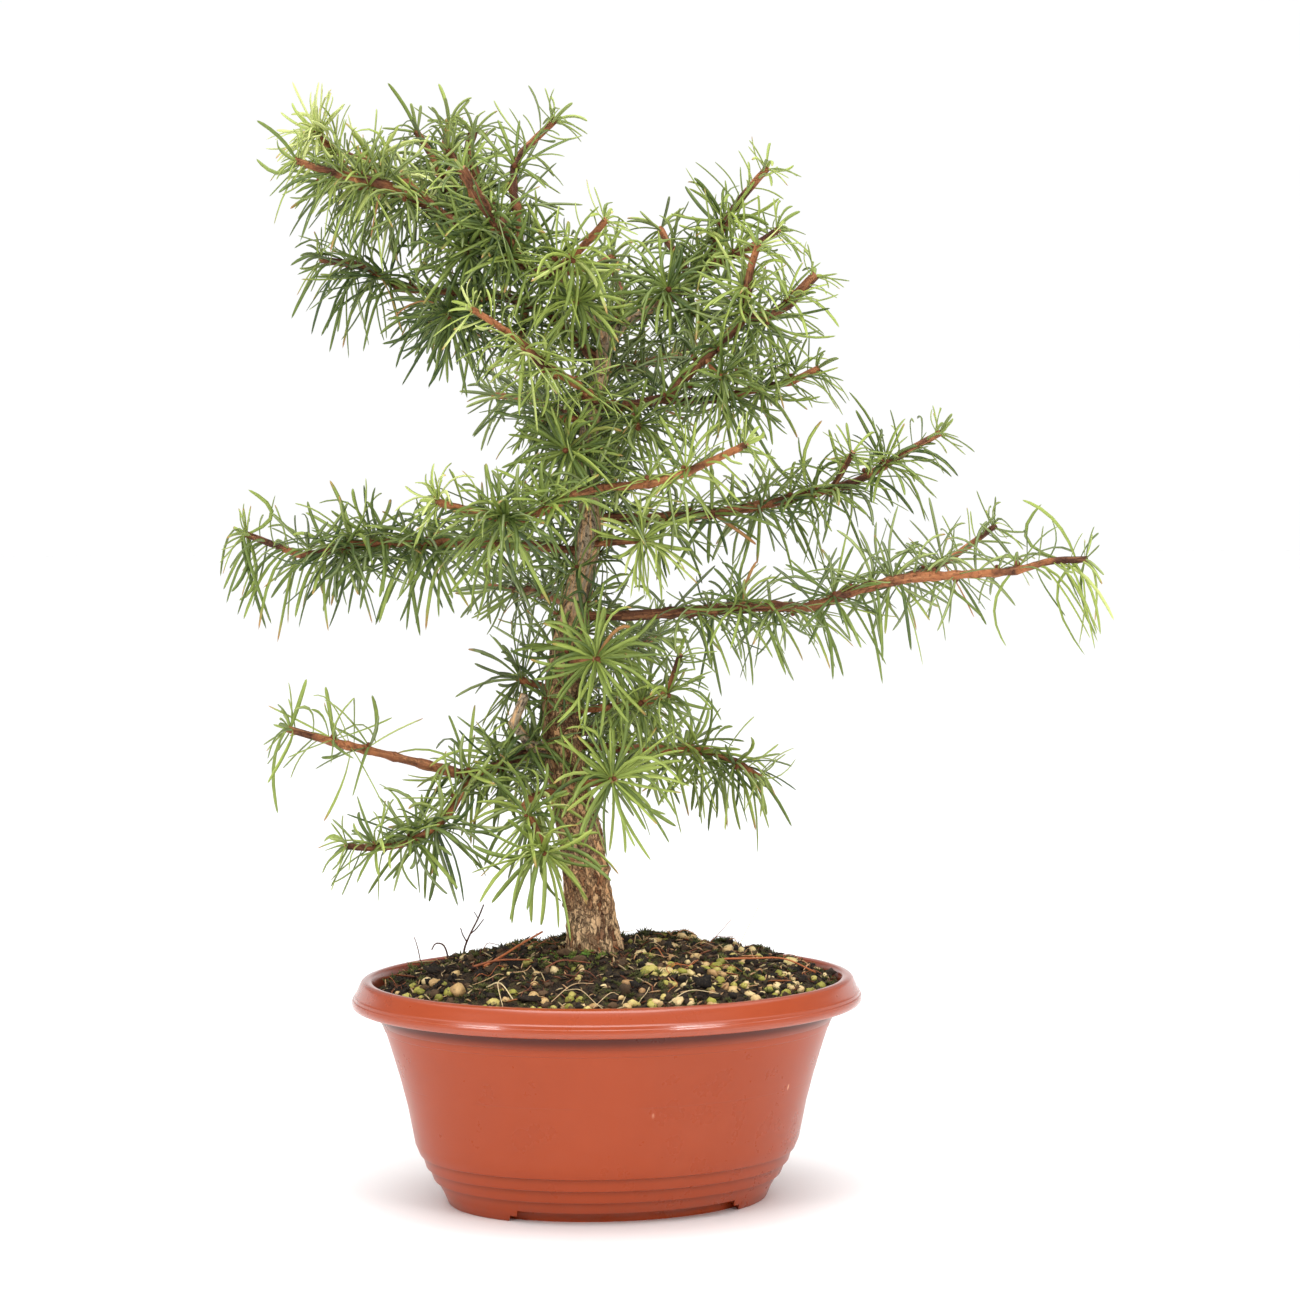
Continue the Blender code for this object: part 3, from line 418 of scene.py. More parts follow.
# Leafy stems: route, radius at root and tip, how much is bare wood, and how fresh its green is
stems = {
    "crown_left_long": (
        [(-90, 0, 498), (-97, -6, 501), (-110, -12, 507), (-137, -20, 513), (-153, -24, 518)],
        2.2, 1.7, 12, 0.55,
    ),
    "crown_left_under": (
        [(-90, 0, 498), (-104, 12, 504), (-120, 20, 508), (-147, 26, 513)], 2.4, 2.1, 14, 0.35,
    ),
    "crown_left_pale": (
        [(-83, -2, 495), (-104, 4, 512), (-129, 0, 523), (-138, -2, 527), (-146, -4, 536)], 2.0, 1.6, 14, 1.0,
    ),
    "crown_left_back": (
        [(-73, -4, 489), (-81, 14, 504), (-87, 26, 521), (-92, 32, 530), (-98, 36, 539)], 2.0, 1.7, 12, 0.35,
    ),
    "crown_left_short": ([(-63, -8, 481), (-68, -2, 498), (-73, 4, 515), (-80, 8, 527)], 2.0, 1.7, 12, 0.45),
    "crown_left_front": (
        [(-45, -16, 470), (-50, -26, 483), (-59, -34, 494), (-70, -44, 512)], 2.9, 2.7, 12, 0.25,
    ),
    "crown_mid_cut": (
        [(-47, -13, 470), (-55, -2, 490), (-64, 10, 510), (-70, 18, 526), (-68, 22, 537)], 2.5, 2.4, 16, 0.4,
    ),
    "crown_mid_back": (
        [(-57, -10, 477), (-70, 16, 492), (-80, 36, 518), (-84, 50, 535), (-82, 54, 545)], 2.2, 1.7, 16, 0.4,
    ),
    "crown_mid_tall": (
        [(-43, -15, 468), (-44, -8, 490), (-47, -2, 506), (-45, 4, 521), (-38, 8, 530), (-26, 12, 542)],
        2.4, 1.7, 12, 0.5,
    ),
    "crown_mid_front": (
        [(-43, -15, 468), (-30, -26, 463), (-17, -34, 470), (-6, -38, 481), (0, -40, 488)], 2.2, 1.7, 12, 0.6,
    ),
    "crown_mid_low": ([(-33, -13, 465), (-22, -2, 465), (-10, 6, 467), (3, 14, 474)], 2.1, 1.7, 10, 0.35),
    "second_left_tip": (
        [(-107, 30, 459), (-117, 32, 467), (-129, 34, 471), (-147, 36, 474)], 2.2, 1.8, 6, 0.3,
    ),
    "second_left_drop": ([(-58, 20, 456), (-65, 10, 450), (-71, 2, 446), (-78, -4, 445)], 1.9, 1.6, 8, 0.15),
    "front_cross": (
        [(-3, -2, 398), (-8, -22, 403), (-17, -32, 410), (-30, -40, 417), (-45, -48, 431), (-65, -56, 444)],
        2.3, 1.6, 18, 0.75,
    ),
    "crown_right_tall": (
        [(45, 15, 464), (53, 16, 475), (57, 16, 488), (67, 14, 503), (80, 10, 518)], 2.4, 1.8, 10, 0.5,
    ),
    "crown_right_inner": ([(41, 14, 460), (37, 22, 472), (31, 30, 481), (26, 36, 490)], 2.0, 1.7, 9, 0.35),
    "crown_right_low": ([(45, 15, 464), (60, 6, 473), (74, 0, 479), (85, -6, 486)], 2.2, 1.7, 10, 0.45),
    "upper_right_stub": ([(68, -16, 442), (69, -20, 453), (70, -24, 464), (74, -28, 477)], 2.2, 1.7, 8, 0.5),
    "upper_right_long": (
        [(68, -16, 442), (76, -14, 442), (87, -12, 447), (94, -12, 454), (103, -12, 463)], 2.6, 2.4, 9, 0.45,
    ),
    "upper_right_low": (
        [(28, -12, 401), (41, -4, 401), (59, 2, 403), (76, 6, 408), (91, 8, 411), (106, 10, 418)],
        2.3, 1.7, 12, 0.35,
    ),
    "front_right": (
        [(-2, -26, 358), (21, -36, 360), (35, -42, 364), (51, -48, 371), (68, -54, 379)], 2.2, 1.7, 10, 0.6,
    ),
    "front_left": (
        [(-2, -26, 358), (-15, -38, 355), (-27, -46, 349), (-38, -50, 344), (-49, -52, 343), (-66, -54, 347),
         (-82, -58, 351)],
        2.3, 1.8, 12, 0.5,
    ),
    "mid_left": (
        [(-11, 0, 326), (-29, -4, 328), (-54, -6, 330), (-87, -4, 331), (-110, 0, 330), (-132, 4, 329),
         (-151, 6, 324), (-167, 8, 329), (-183, 8, 335)],
        2.6, 1.7, 22, 0.3,
    ),
    "mid_right": (
        [(-9, -1, 343), (8, 2, 343), (30, 6, 343), (53, 10, 345), (76, 14, 349), (98, 18, 354),
         (125, 22, 361), (149, 26, 375), (169, 28, 386)],
        2.6, 1.7, 22, 0.4,
    ),
    "right_long": (
        [(-17, 2, 294), (9, -2, 294), (35, -6, 296), (78, -12, 299), (100, -15, 299), (122, -18, 307),
         (146, -22, 313), (170, -26, 315), (198, -30, 317), (217, -34, 322), (235, -36, 323)],
        2.9, 1.7, 26, 0.35,
    ),
    "trunk_twig": (
        [(-22, 6, 245), (-4, -6, 248), (16, -14, 251), (29, -20, 257), (36, -26, 276)], 2.0, 1.5, 18, 0.4,
    ),
    "low_left": (
        [(-24, 6, 230), (-39, 0, 226), (-52, -4, 220), (-69, -8, 215), (-86, -12, 219), (-112, -16, 226),
         (-135, -20, 232), (-158, -24, 239)],
        2.6, 1.8, 20, 0.4,
    ),
    "low_front": (
        [(-19, 4, 203), (-31, -12, 206), (-41, -26, 201), (-35, -36, 191), (-31, -42, 181)],
        2.1, 1.6, 18, 0.7,
    ),
    "low_right": (
        [(-23, 6, 229), (-4, 14, 227), (23, 20, 225), (46, 22, 225), (64, 20, 219), (77, 16, 211)],
        2.4, 1.7, 20, 0.55,
    ),
    "back_low_left": ([(-20, 5, 213), (-31, 40, 214), (-46, 75, 214), (-59, 108, 214)], 2.3, 1.7, 24, 0.3),
    "back_low_right": ([(-23, 6, 232), (-9, 42, 234), (6, 80, 238), (16, 116, 240)], 2.4, 1.7, 24, 0.3),
    "back_mid_left": ([(-16, 2, 300), (-27, 38, 301), (-45, 78, 304), (-65, 114, 305)], 2.3, 1.7, 22, 0.3),
    "back_mid_right": ([(-21, 5, 270), (-4, 40, 274), (14, 80, 276), (26, 118, 278)], 2.4, 1.7, 22, 0.3),
    "back_centre": ([(-10, -2, 364), (-5, 36, 370), (-1, 80, 379), (-5, 122, 388)], 2.3, 1.7, 20, 0.3),
    "back_upper_left": ([(-8, -2, 392), (-22, 34, 397), (-43, 70, 404), (-62, 100, 407)], 2.2, 1.7, 18, 0.3),
    "back_upper_right": ([(-3, 0, 415), (12, 36, 420), (30, 70, 426), (44, 98, 432)], 2.1, 1.7, 16, 0.35),
    "back_top": ([(-2, 0, 426), (2, 28, 442), (6, 56, 457), (2, 82, 471)], 2.0, 1.6, 16, 0.4),
    "spur_north": ([(-21, 4, 270), (-14, -14, 272), (-5, -32, 274)], 2.1, 2.0, 21, 0.45),
    "spur_south": ([(-20, 4, 208), (-9, -14, 211), (3, -32, 215)], 2.1, 2.0, 23, 0.55),
    "spur_pale": ([(-10, 0, 329), (4, -14, 331), (18, -24, 332)], 1.8, 1.6, 14, 0.8),
    "spur_left_a": ([(-10, -3, 374), (-15, -16, 375), (-20, -30, 376)], 2.0, 1.8, 14, 0.4),
    "spur_left_b": ([(-8, -2, 393), (-20, -8, 392), (-31, -12, 392)], 2.0, 1.8, 12, 0.3),
    "spur_left_c": ([(-23, 6, 255), (-33, 10, 258), (-45, 14, 261)], 1.9, 1.7, 14, 0.2),
    "spur_limb_a": ([(-66, -6, 483), (-69, -16, 474)], 1.8, 1.7, 7, 0.3),
    "spur_limb_b": ([(-80, 26, 457), (-83, 22, 443)], 1.8, 1.7, 7, 0.2),
    "spur_limb_c": ([(-41, 14, 450), (-43, 9, 436)], 1.8, 1.7, 7, 0.25),
    "spur_limb_d": ([(-18, -8, 456), (-15, -21, 449)], 1.8, 1.7, 7, 0.45),
    "spur_limb_e": ([(26, 10, 449), (30, -3, 456)], 1.8, 1.7, 7, 0.35),
    "spur_limb_f": ([(39, 13, 459), (44, 8, 445)], 1.8, 1.7, 7, 0.3),
    "spur_limb_g": ([(48, -16, 422), (57, -22, 412)], 1.8, 1.7, 7, 0.35),
    "spur_limb_h": ([(12, -9, 399), (15, -17, 388)], 1.8, 1.7, 7, 0.35),
}

# Side shoots by stem: route, radius at root and tip
sideShoots = {
    "mid_right": [([(112, 20, 357), (117, 16, 364), (123, 8, 376)], 1.5, 1.4)],
    "right_long": [
        ([(122, -18, 307), (143, -8, 312), (161, 0, 317), (177, 6, 326), (195, 10, 339)], 1.9, 1.5),
    ],
    "low_left": [
        ([(-65, -7, 216), (-73, -20, 206), (-80, -30, 195), (-96, -36, 185), (-111, -40, 182),
          (-128, -44, 183)], 2.0, 1.7),
    ],
}

# Where a stem carries no needles: from and to along it
bareStretches = {"low_left": (42, 108), "right_long": (0, 14)}

# Single needles that stand out from the crown: root along the stem, bend and tip
reachingNeedles = {
    "right_long": [
        (252, (232, -38, 304), (239, -38, 286)), (238, (220, -36, 304), (234, -36, 276)),
        (247, (240, -30, 311), (240, -26, 292)), (222, (206, -24, 334), (214, -22, 350)),
        (226, (217, -40, 343), (202, -42, 352)), (196, (190, -30, 298), (196, -32, 280)),
    ],
    "mid_left": [
        (165, (-178, 14, 312), (-187, 18, 301)), (170, (-181, 2, 318), (-188, -4, 306)),
        (160, (-168, 0, 346), (-179, -6, 357)),
    ],
    "crown_left_long": [(58, (-160, -30, 529), (-170, -34, 536)), (60, (-162, -22, 512), (-172, -20, 519))],
    "crown_left_back": [(56, (-104, 38, 552), (-112, 34, 563))],
    "crown_mid_back": [(82, (-84, 56, 556), (-88, 60, 566))],
    "low_left": [(152, (-152, -26, 252), (-148, -28, 264))],
}
reachingFacing = Vector((0.3, -1.0, 0.3))
reachingLook = (0.50, 1.9, 0.5)  # freshness, width and twist


class Route:  # a line through a few points, smooth or straight between them, read by the distance along it
    def __init__(self, points, smooth=True):
        spots = [Vector(p) for p in points]
        self.line = self.smoothed(spots) if smooth else spots
        self.marks = [0.0]
        for a, b in zip(self.line, self.line[1:]):
            self.marks.append(self.marks[-1] + (b - a).length)
        self.length = self.marks[-1]

    def smoothed(self, spots):
        spots = [2 * spots[0] - spots[1], *spots, 2 * spots[-1] - spots[-2]]
        line = [spots[1]]
        for a, b, c, d in zip(spots, spots[1:], spots[2:], spots[3:]):
            for k in range(1, 13):
                t = k / 12
                line.append(
                    b + 0.5 * (c - a) * t + (a - 2.5 * b + 2 * c - 0.5 * d) * t ** 2
                    + 0.5 * (3 * b - a - 3 * c + d) * t ** 3
                )
        return line

    def point(self, along):
        along = min(max(along, 0.0), self.length)
        k = min(max(1, int(np.searchsorted(self.marks, along))), len(self.marks) - 1)
        part = (along - self.marks[k - 1]) / (self.marks[k] - self.marks[k - 1])
        return self.line[k - 1].lerp(self.line[k], part)

    def direction(self, along):
        return (self.point(along + 1.5) - self.point(along - 1.5)).normalized()


def acrossOf(direction, turn=0.0):
    helper = Vector((0, 0, 1)) if abs(direction.z) < 0.8 else Vector((1, 0, 0))
    side = direction.cross(helper).normalized()
    other = direction.cross(side)
    return side * math.cos(turn) + other * math.sin(turn), other * math.cos(turn) - side * math.sin(turn)


def cutTo(route, start, end, step):
    count = max(1, round((end - start) / step))
    return Route([route.point(start + (end - start) * k / count) for k in range(count + 1)], smooth=False)


# The CAD's own needles, drawn again by the same seeded rule, so that each finer one lies where its solid does

needleRule = {
    "width": 1.8, "shortest": 25.0, "longest": 36.0, "shootLength": 34.0, "shootStep": 10.0,
    "whorlStep": 31.0, "whorlNeedles": 4, "spurNeedles": 8, "tipNeedles": 3, "tipNeedle": 19.0,
    "pastTheCut": 8.0, "clearOfOthers": 0.45, "clearOfOwn": 0.1, "redraws": 26, "coreStep": 21.0,
    "limbStep": 17.0, "lowest": 141.0, "seed": 41,
    # leaning in degrees: the first angle, and how much it closes or opens
    "shootLean": (82, 26), "spurLean": (12, 100), "tipLean": (38, 40),
}


class Crowd:  # every stem and needle so far, as straight runs with a radius
    def __init__(self):
        self.starts, self.ends, self.radii, self.owners = [], [], [], []
        self.packed = None

    def add(self, start, end, radius, owner):
        self.starts.append(tuple(start))
        self.ends.append(tuple(end))
        self.radii.append(radius)
        self.owners.append(owner)
        self.packed = None

    def addLine(self, line, radius, owner, firstSkip=0.0):
        for k, (a, b) in enumerate(zip(line.line, line.line[1:])):
            self.add(a.lerp(b, firstSkip / (b - a).length) if k == 0 else a, b, radius, owner)

    def room(self, start, end, radius, owner, own):
        if self.packed is None:
            self.packed = [np.array(v) for v in (self.starts, self.ends, self.radii, self.owners)]
        starts, ends, radii, owners = self.packed
        chosen = (owners == owner) if own else (owners != owner)
        if not chosen.any():
            return 100.0
        apart = distanceBetween(np.array(start), np.array(end), starts[chosen], ends[chosen])
        return float((apart - radii[chosen]).min()) - radius


def distanceBetween(start, end, starts, ends):
    first, second = end - start, ends - starts
    offset = start - starts
    a = float(first @ first)
    e = np.maximum((second * second).sum(1), 1e-9)
    f = (second * offset).sum(1)
    c = offset @ first
    b = second @ first
    spread = a * e - b * b
    s = np.where(spread > 1e-9, np.clip((b * f - c * e) / np.maximum(spread, 1e-9), 0, 1), 0.0)
    t = np.clip((b * s + f) / e, 0, 1)
    s = np.clip((b * t - c) / max(a, 1e-9), 0, 1)
    gap = (start + s[:, None] * first) - (starts + t[:, None] * second)
    return np.sqrt((gap * gap).sum(1))


def needleFits(crowd, root, bend, tip, owner):
    if tip[2] < needleRule["lowest"] or bend[2] < needleRule["lowest"]:
        return False
    half = 0.5 * needleRule["width"]
    if crowd.room(root, bend, half, owner, False) < needleRule["clearOfOthers"]:
        return False
    if crowd.room(bend, tip, half, owner, False) < needleRule["clearOfOthers"]:
        return False
    free = [root[i] + 0.42 * (bend[i] - root[i]) for i in range(3)]
    if crowd.room(free, bend, half, owner, True) < needleRule["clearOfOwn"]:
        return False
    return crowd.room(bend, tip, half, owner, True) > needleRule["clearOfOwn"]


def tryNeedle(crowd, draw, owner, root, aim, long, end, ahead):
    for attempt in range(needleRule["redraws"]):
        loose = 0.10 + 0.035 * attempt
        way = (aim + loose * Vector([draw.uniform(-1, 1) for _ in range(3)])).normalized()
        size = long * (1 - 0.012 * attempt)
        droop = draw.uniform(0.02, 0.17) * size
        bend = root + way * size * 0.55 + Vector((0, 0, 0.10 * droop))
        tip = root + way * size + Vector((0, 0, -droop))
        if ahead and (tip - end).dot(ahead) > needleRule["pastTheCut"] + 0.3 * attempt:
            continue
        if needleFits(crowd, root, bend, tip, owner):
            crowd.add(root, bend, 0.5 * needleRule["width"], owner)
            crowd.add(bend, tip, 0.5 * needleRule["width"], owner)
            return bend, tip
    return None


def whorlAims(outward, forward, turn, count):
    aims = []
    for k in range(count):
        opening = math.radians(18 + 78 * math.sqrt((k + 0.5) / count))
        sideways = acrossOf(outward, k * goldenAngle + turn)[0]
        aims.append(outward * math.cos(opening) + sideways * math.sin(opening) + 0.15 * forward)
    return aims


def shootAims(line, young, turn, step, lean):  # each: place along it, nearness to the tip, way ahead, aim
    aims, along = [], young
    while along < line.length - 1:
        turn += goldenAngle
        ahead = line.direction(along)
        nearness = (along - young) / max(1.0, line.length - young)
        tilt = math.radians(lean[0] - lean[1] * nearness)
        aim = ahead * math.cos(tilt) + acrossOf(ahead, turn)[0] * math.sin(tilt)
        aims.append((along, nearness, ahead, aim))
        along += step
    return aims, turn


def endAims(ahead, turn, count, lean):
    aims = []
    for k in range(count):
        turn += goldenAngle
        tilt = math.radians(lean[0] + lean[1] * math.sqrt((k + 0.4) / count))
        aims.append(ahead * math.cos(tilt) + acrossOf(ahead, turn)[0] * math.sin(tilt))
    return aims


def plannedNeedles(draw, line, first, spur):
    wanted, whorls = [], []  # wanted: place, aim, nearness to the tip, axis that its flat side faces
    young = line.length if spur else max(first + 2.5, line.length - needleRule["shootLength"])
    turn = draw.uniform(0, 6.28)
    along = young
    while along > first + 6 and not spur:
        turn += goldenAngle
        forward = line.direction(along)
        outward = acrossOf(forward, turn)[0]
        whorls.append((along, outward))
        for aim in whorlAims(outward, forward, turn, needleRule["whorlNeedles"]):
            wanted.append((along + draw.uniform(-0.8, 0.8), aim, 0.0, outward))
        along -= needleRule["whorlStep"]
    if not spur:
        aims, turn = shootAims(line, young, turn, needleRule["shootStep"], needleRule["shootLean"])
        wanted += [(along, aim, 0.7 * nearness, ahead) for along, nearness, ahead, aim in aims]
    kind, ahead = "spur" if spur else "tip", line.direction(line.length)
    for aim in endAims(ahead, turn, needleRule[kind + "Needles"], needleRule[kind + "Lean"]):
        wanted.append((line.length - 1.2, aim, 0.0 if spur else 1.0, ahead))
    return wanted, whorls, young


class Needles:  # root, bend, tip, the way the flat side faces, freshness, width and twist of each
    def __init__(self, breadth=1.0):
        self.rows, self.breadth = [], breadth

    def add(self, root, bend, tip, facing, fresh, width, twist):
        self.rows.append((*root, *bend, *tip, *facing, fresh, width * self.breadth, twist))


def growBase(crowd, draw, owner, line, first, bare, spur, fresh, needles):
    wanted, whorls, young = plannedNeedles(draw, line, first, spur)
    end, ahead = line.point(line.length), line.direction(line.length)
    for along, aim, nearTip, facing in wanted:
        if bare[0] < along < bare[1]:
            continue
        long = draw.uniform(needleRule["shortest"], needleRule["longest"])
        long += nearTip * (needleRule["tipNeedle"] - long)
        root = line.point(along)
        made = tryNeedle(crowd, draw, owner, root, aim.normalized(), long, end, None if spur else ahead)
        if made:
            needles.add(root, *made, facing, fresh + 0.15 * nearTip, needleRule["width"], 0.0)
    return [w for w in whorls if not bare[0] < w[0] < bare[1]], young


# More needles than the solids can hold

fillRule = {
    "whorlsPerStep": 3, "whorlNeedles": 11, "betweenNeedles": 11, "sparseNeedles": 4, "footNeedles": 14,
    "spurNeedles": 42, "spurShortest": 27.0, "spurLongest": 36.0,
    "tipNeedles": 7, "tipShortest": 15.0, "tipLongest": 23.0, "shootStep": 2.5, "sparseStep": 1.7,
    "shortest": 25.0, "longest": 38.0, "sizes": (0.82, 1.07), "narrowest": 1.3, "widest": 1.95,
    "loose": 0.17, "bow": 0.16, "droop": (-0.08, 0.28), "hangingDroop": (0.10, 0.45), "lowest": 133.0,
    "shootLean": (80, 24), "spurLean": (24, 78), "tipLean": (36, 44), "tries": 5, "seed": 207,
    # on the trunk, between two heights, and on the limbs
    "trunkStep": 8.5, "trunkNeedles": 15, "trunkFrom": 206.0, "trunkTo": 432.0, "clothedFrom": 266.0,
    "clothedTo": 340.0, "limbStep": 12.0, "limbNeedles": 11, "woodFresh": 0.25,
}

# How full a stem is beside the others, and spurs whose needles are longer or shorter
fullness = {"right_long": 0.66, "mid_right": 0.85, "low_left": 0.5, "mid_left": 0.9}
spurLengths = {"spur_south": 40.0, "spur_north": 37.0, "spur_pale": 31.0}

# Stems with wider or narrower needles, and stems whose twig shows, with few whorls in front of it
breadths = {
    "right_long": 0.9, "spur_south": 1.08, "spur_north": 1.05, "low_left": 1.1, "low_front": 1.2,
    "mid_left": 1.1, "front_left": 1.15,
}
openFronts = ("right_long", "low_left", "crown_left_long", "crown_left_under")

# Rosettes that stand out, by stem: place, the way they face, needles, freshness, length
rosettes = {
    "low_left": [
        ((-84, -32, 192), (-0.1, -0.6, -1.0), 28, 0.15, 36),
        ((-96, -36, 185), (-0.3, -0.5, 0.9), 20, 0.45, 33),
        ((-112, -40, 182), (-0.6, -0.4, 0.8), 16, 0.6, 31),
        ((-69, -8, 215), (-0.3, -0.6, 0.9), 15, 0.45, 39),
        ((-54, -4, 219), (0.2, -0.7, 0.6), 13, 0.4, 38),
        ((-135, -20, 232), (-0.3, -0.3, 1.0), 8, 0.5, 38),
        ((-118, -17, 228), (-0.2, -0.3, 1.0), 7, 0.5, 36),
        ((-126, -18, 230), (-1.0, -0.3, -0.35), 6, 0.5, 40),
        ((-39, 0, 226), (-0.2, -0.6, 0.8), 14, 0.4, 31),
        ((-52, -4, 220), (-0.1, -0.6, -0.9), 14, 0.3, 32),
    ],
    "low_front": [
        ((-31, -42, 181), (0.1, -0.7, -0.4), 28, 0.55, 38),
        ((-38, -32, 196), (-0.6, -0.6, 0.3), 20, 0.45, 36),
    ],
    "second_left_drop": [
        ((-78, -4, 445), (-0.5, -0.8, -0.6), 30, 0.15, 39),
        ((-70, 2, 447), (0.1, -0.7, -0.8), 22, 0.2, 36),
        ((-78, -4, 445), (-0.3, -0.6, -1.0), 24, 0.15, 34),
    ],
    "second_left_tip": [
        ((-117, 32, 467), (-0.8, -0.5, -0.7), 22, 0.25, 38),
        ((-129, 34, 471), (-1.0, -0.4, -0.4), 20, 0.3, 37),
    ],
    "crown_left_pale": [
        ((-142, -4, 532), (-0.8, -0.5, 0.6), 44, 1.2, 27),
        ((-134, -1, 525), (-0.9, -0.5, -0.2), 28, 1.0, 28),
    ],
    "crown_left_long": [
        ((-110, -12, 507), (-0.3, 0.5, 1.0), 14, 0.45, 31),
        ((-130, -18, 511), (-0.5, 0.5, 0.9), 12, 0.5, 30),
        ((-116, -14, 507), (-1.0, -0.4, -0.5), 20, 0.4, 36),
        ((-98, -9, 502), (-0.9, -0.5, -0.7), 20, 0.35, 36),
    ],
    "crown_left_under": [
        ((-116, 20, 508), (-0.9, 0.2, -0.65), 22, 0.3, 37),
        ((-134, 24, 511), (-1.0, 0.2, -0.4), 18, 0.4, 35),
    ],
    "front_left": [
        ((-49, -52, 343), (-0.2, -0.6, -0.9), 30, 0.25, 37),
        ((-52, -52, 343), (0.1, -0.6, 0.9), 24, 0.35, 35),
        ((-30, -47, 348), (-0.1, -0.7, 0.7), 18, 0.4, 33),
        ((-80, -57, 351), (-0.8, -0.3, 0.8), 12, 0.95, 24),
    ],
    "mid_right": [
        ((76, 14, 349), (0.1, -0.5, -1.0), 22, 0.2, 34),
        ((30, 6, 343), (0.0, -0.6, -1.0), 20, 0.3, 32),
        ((104, 18, 355), (0.2, -0.5, 0.9), 20, 0.4, 30),
        ((140, 24, 368), (0.3, -0.5, 1.0), 18, 0.45, 30),
    ],
    "right_long": [
        ((53, -8, 297), (0.0, -0.3, -1.0), 20, 0.25, 33),
        ((84, -12, 299), (0.1, -0.3, -1.0), 20, 0.25, 33),
        ((66, -10, 298), (0.1, -0.9, 0.5), 18, 0.45, 30),
        ((112, -16, 303), (0.1, -0.6, 0.9), 20, 0.4, 31),
    ],
    "mid_left": [
        ((-93, -3, 331), (-0.1, -0.5, -1.0), 26, 0.15, 40),
        ((-132, 4, 329), (0.0, -0.5, -1.0), 26, 0.15, 41),
        ((-118, 2, 330), (0.1, -0.4, 1.0), 24, 0.2, 36),
        ((-128, 4, 330), (-0.6, -0.3, 1.0), 16, 0.45, 37),
        ((-58, -6, 330), (0.0, -0.7, 0.8), 20, 0.4, 30),
    ],
    "crown_mid_front": [((-17, -34, 470), (0.2, -0.8, -0.7), 20, 0.7, 30)],
    "crown_left_front": [
        ((-50, -26, 483), (-0.8, -0.7, -0.1), 20, 0.2, 34),
        ((-46, -20, 473), (-0.7, -0.6, -0.6), 20, 0.2, 33),
    ],
    "upper_right_low": [
        ((76, 6, 408), (0.1, -0.7, -0.6), 20, 0.4, 31),
        ((59, 2, 403), (0.0, -0.6, -0.9), 20, 0.3, 32),
        ((91, 8, 411), (0.2, -0.5, 0.9), 18, 0.6, 30),
    ],
    "trunk_twig": [
        ((16, -14, 251), (0.2, -0.9, 0.1), 18, 0.45, 30),
        ((29, -20, 257), (0.4, -0.6, -0.6), 18, 0.5, 28),
    ],
    "low_right": [
        ((64, 20, 219), (0.2, -0.5, -0.9), 22, 0.4, 32),
        ((40, 22, 225), (0.0, -0.6, 0.9), 18, 0.5, 30),
    ],
    "front_cross": [((-30, -40, 417), (-0.3, -0.7, -0.9), 16, 0.7, 28)],
    "crown_right_tall": [((57, 16, 488), (-0.5, -0.6, 0.6), 18, 0.5, 28)],
    "upper_right_stub": [
        ((69, -21, 455), (-0.4, -0.8, 0.6), 20, 0.8, 27),
        ((68, -19, 445), (-0.6, -0.7, -0.5), 20, 0.4, 31),
    ],
    "upper_right_long": [
        ((88, -13, 448), (0.1, -0.5, 0.9), 16, 0.6, 29),
        ((78, -14, 442), (0.3, -0.6, -0.8), 20, 0.35, 33),
    ],
    "crown_right_low": [((62, 5, 474), (0.2, -0.8, 0.5), 18, 0.55, 29)],
}

# Where a young shoot carries few needles: from and to along it
sparseStretches = {"right_long": (150, 260), "low_left": (104, 170)}

# Long needles that hang: stem, from and to along it, how many, length, freshness
hanging = [
    ("right_long", 30, 150, 26, 36, 0.4), ("right_long", 205, 232, 10, 42, 0.75),
    ("mid_left", 20, 165, 40, 36, 0.35), ("mid_right", 60, 150, 14, 34, 0.3),
    ("low_left", 2, 40, 12, 34, 0.4), ("low_right", 20, 80, 14, 34, 0.4),
    ("second_left_tip", 2, 34, 7, 38, 0.25), ("crown_left_long", 5, 52, 6, 35, 0.4),
    ("crown_left_under", 5, 44, 6, 36, 0.3), ("low_left", 104, 150, 2, 38, 0.5),
]


def trunkAt(height, i):
    return float(np.interp(height, trunkHeights, [p[i] for p in trunkRoute]))


def insideTrunk(point):
    if not trunkHeights[0] < point[2] < trunkHeights[-1]:
        return False
    x, y, radius = (trunkAt(point[2], i) for i in (0, 1, 3))
    return math.hypot(point[0] - x, point[1] - y) < radius + 0.8


def withinBox(point):
    spot = treeTurn @ (Vector(point) * mm)
    low, high = cadBox
    return all(low[i] + 0.4 * mm < spot[i] < high[i] - 0.4 * mm for i in range(3))


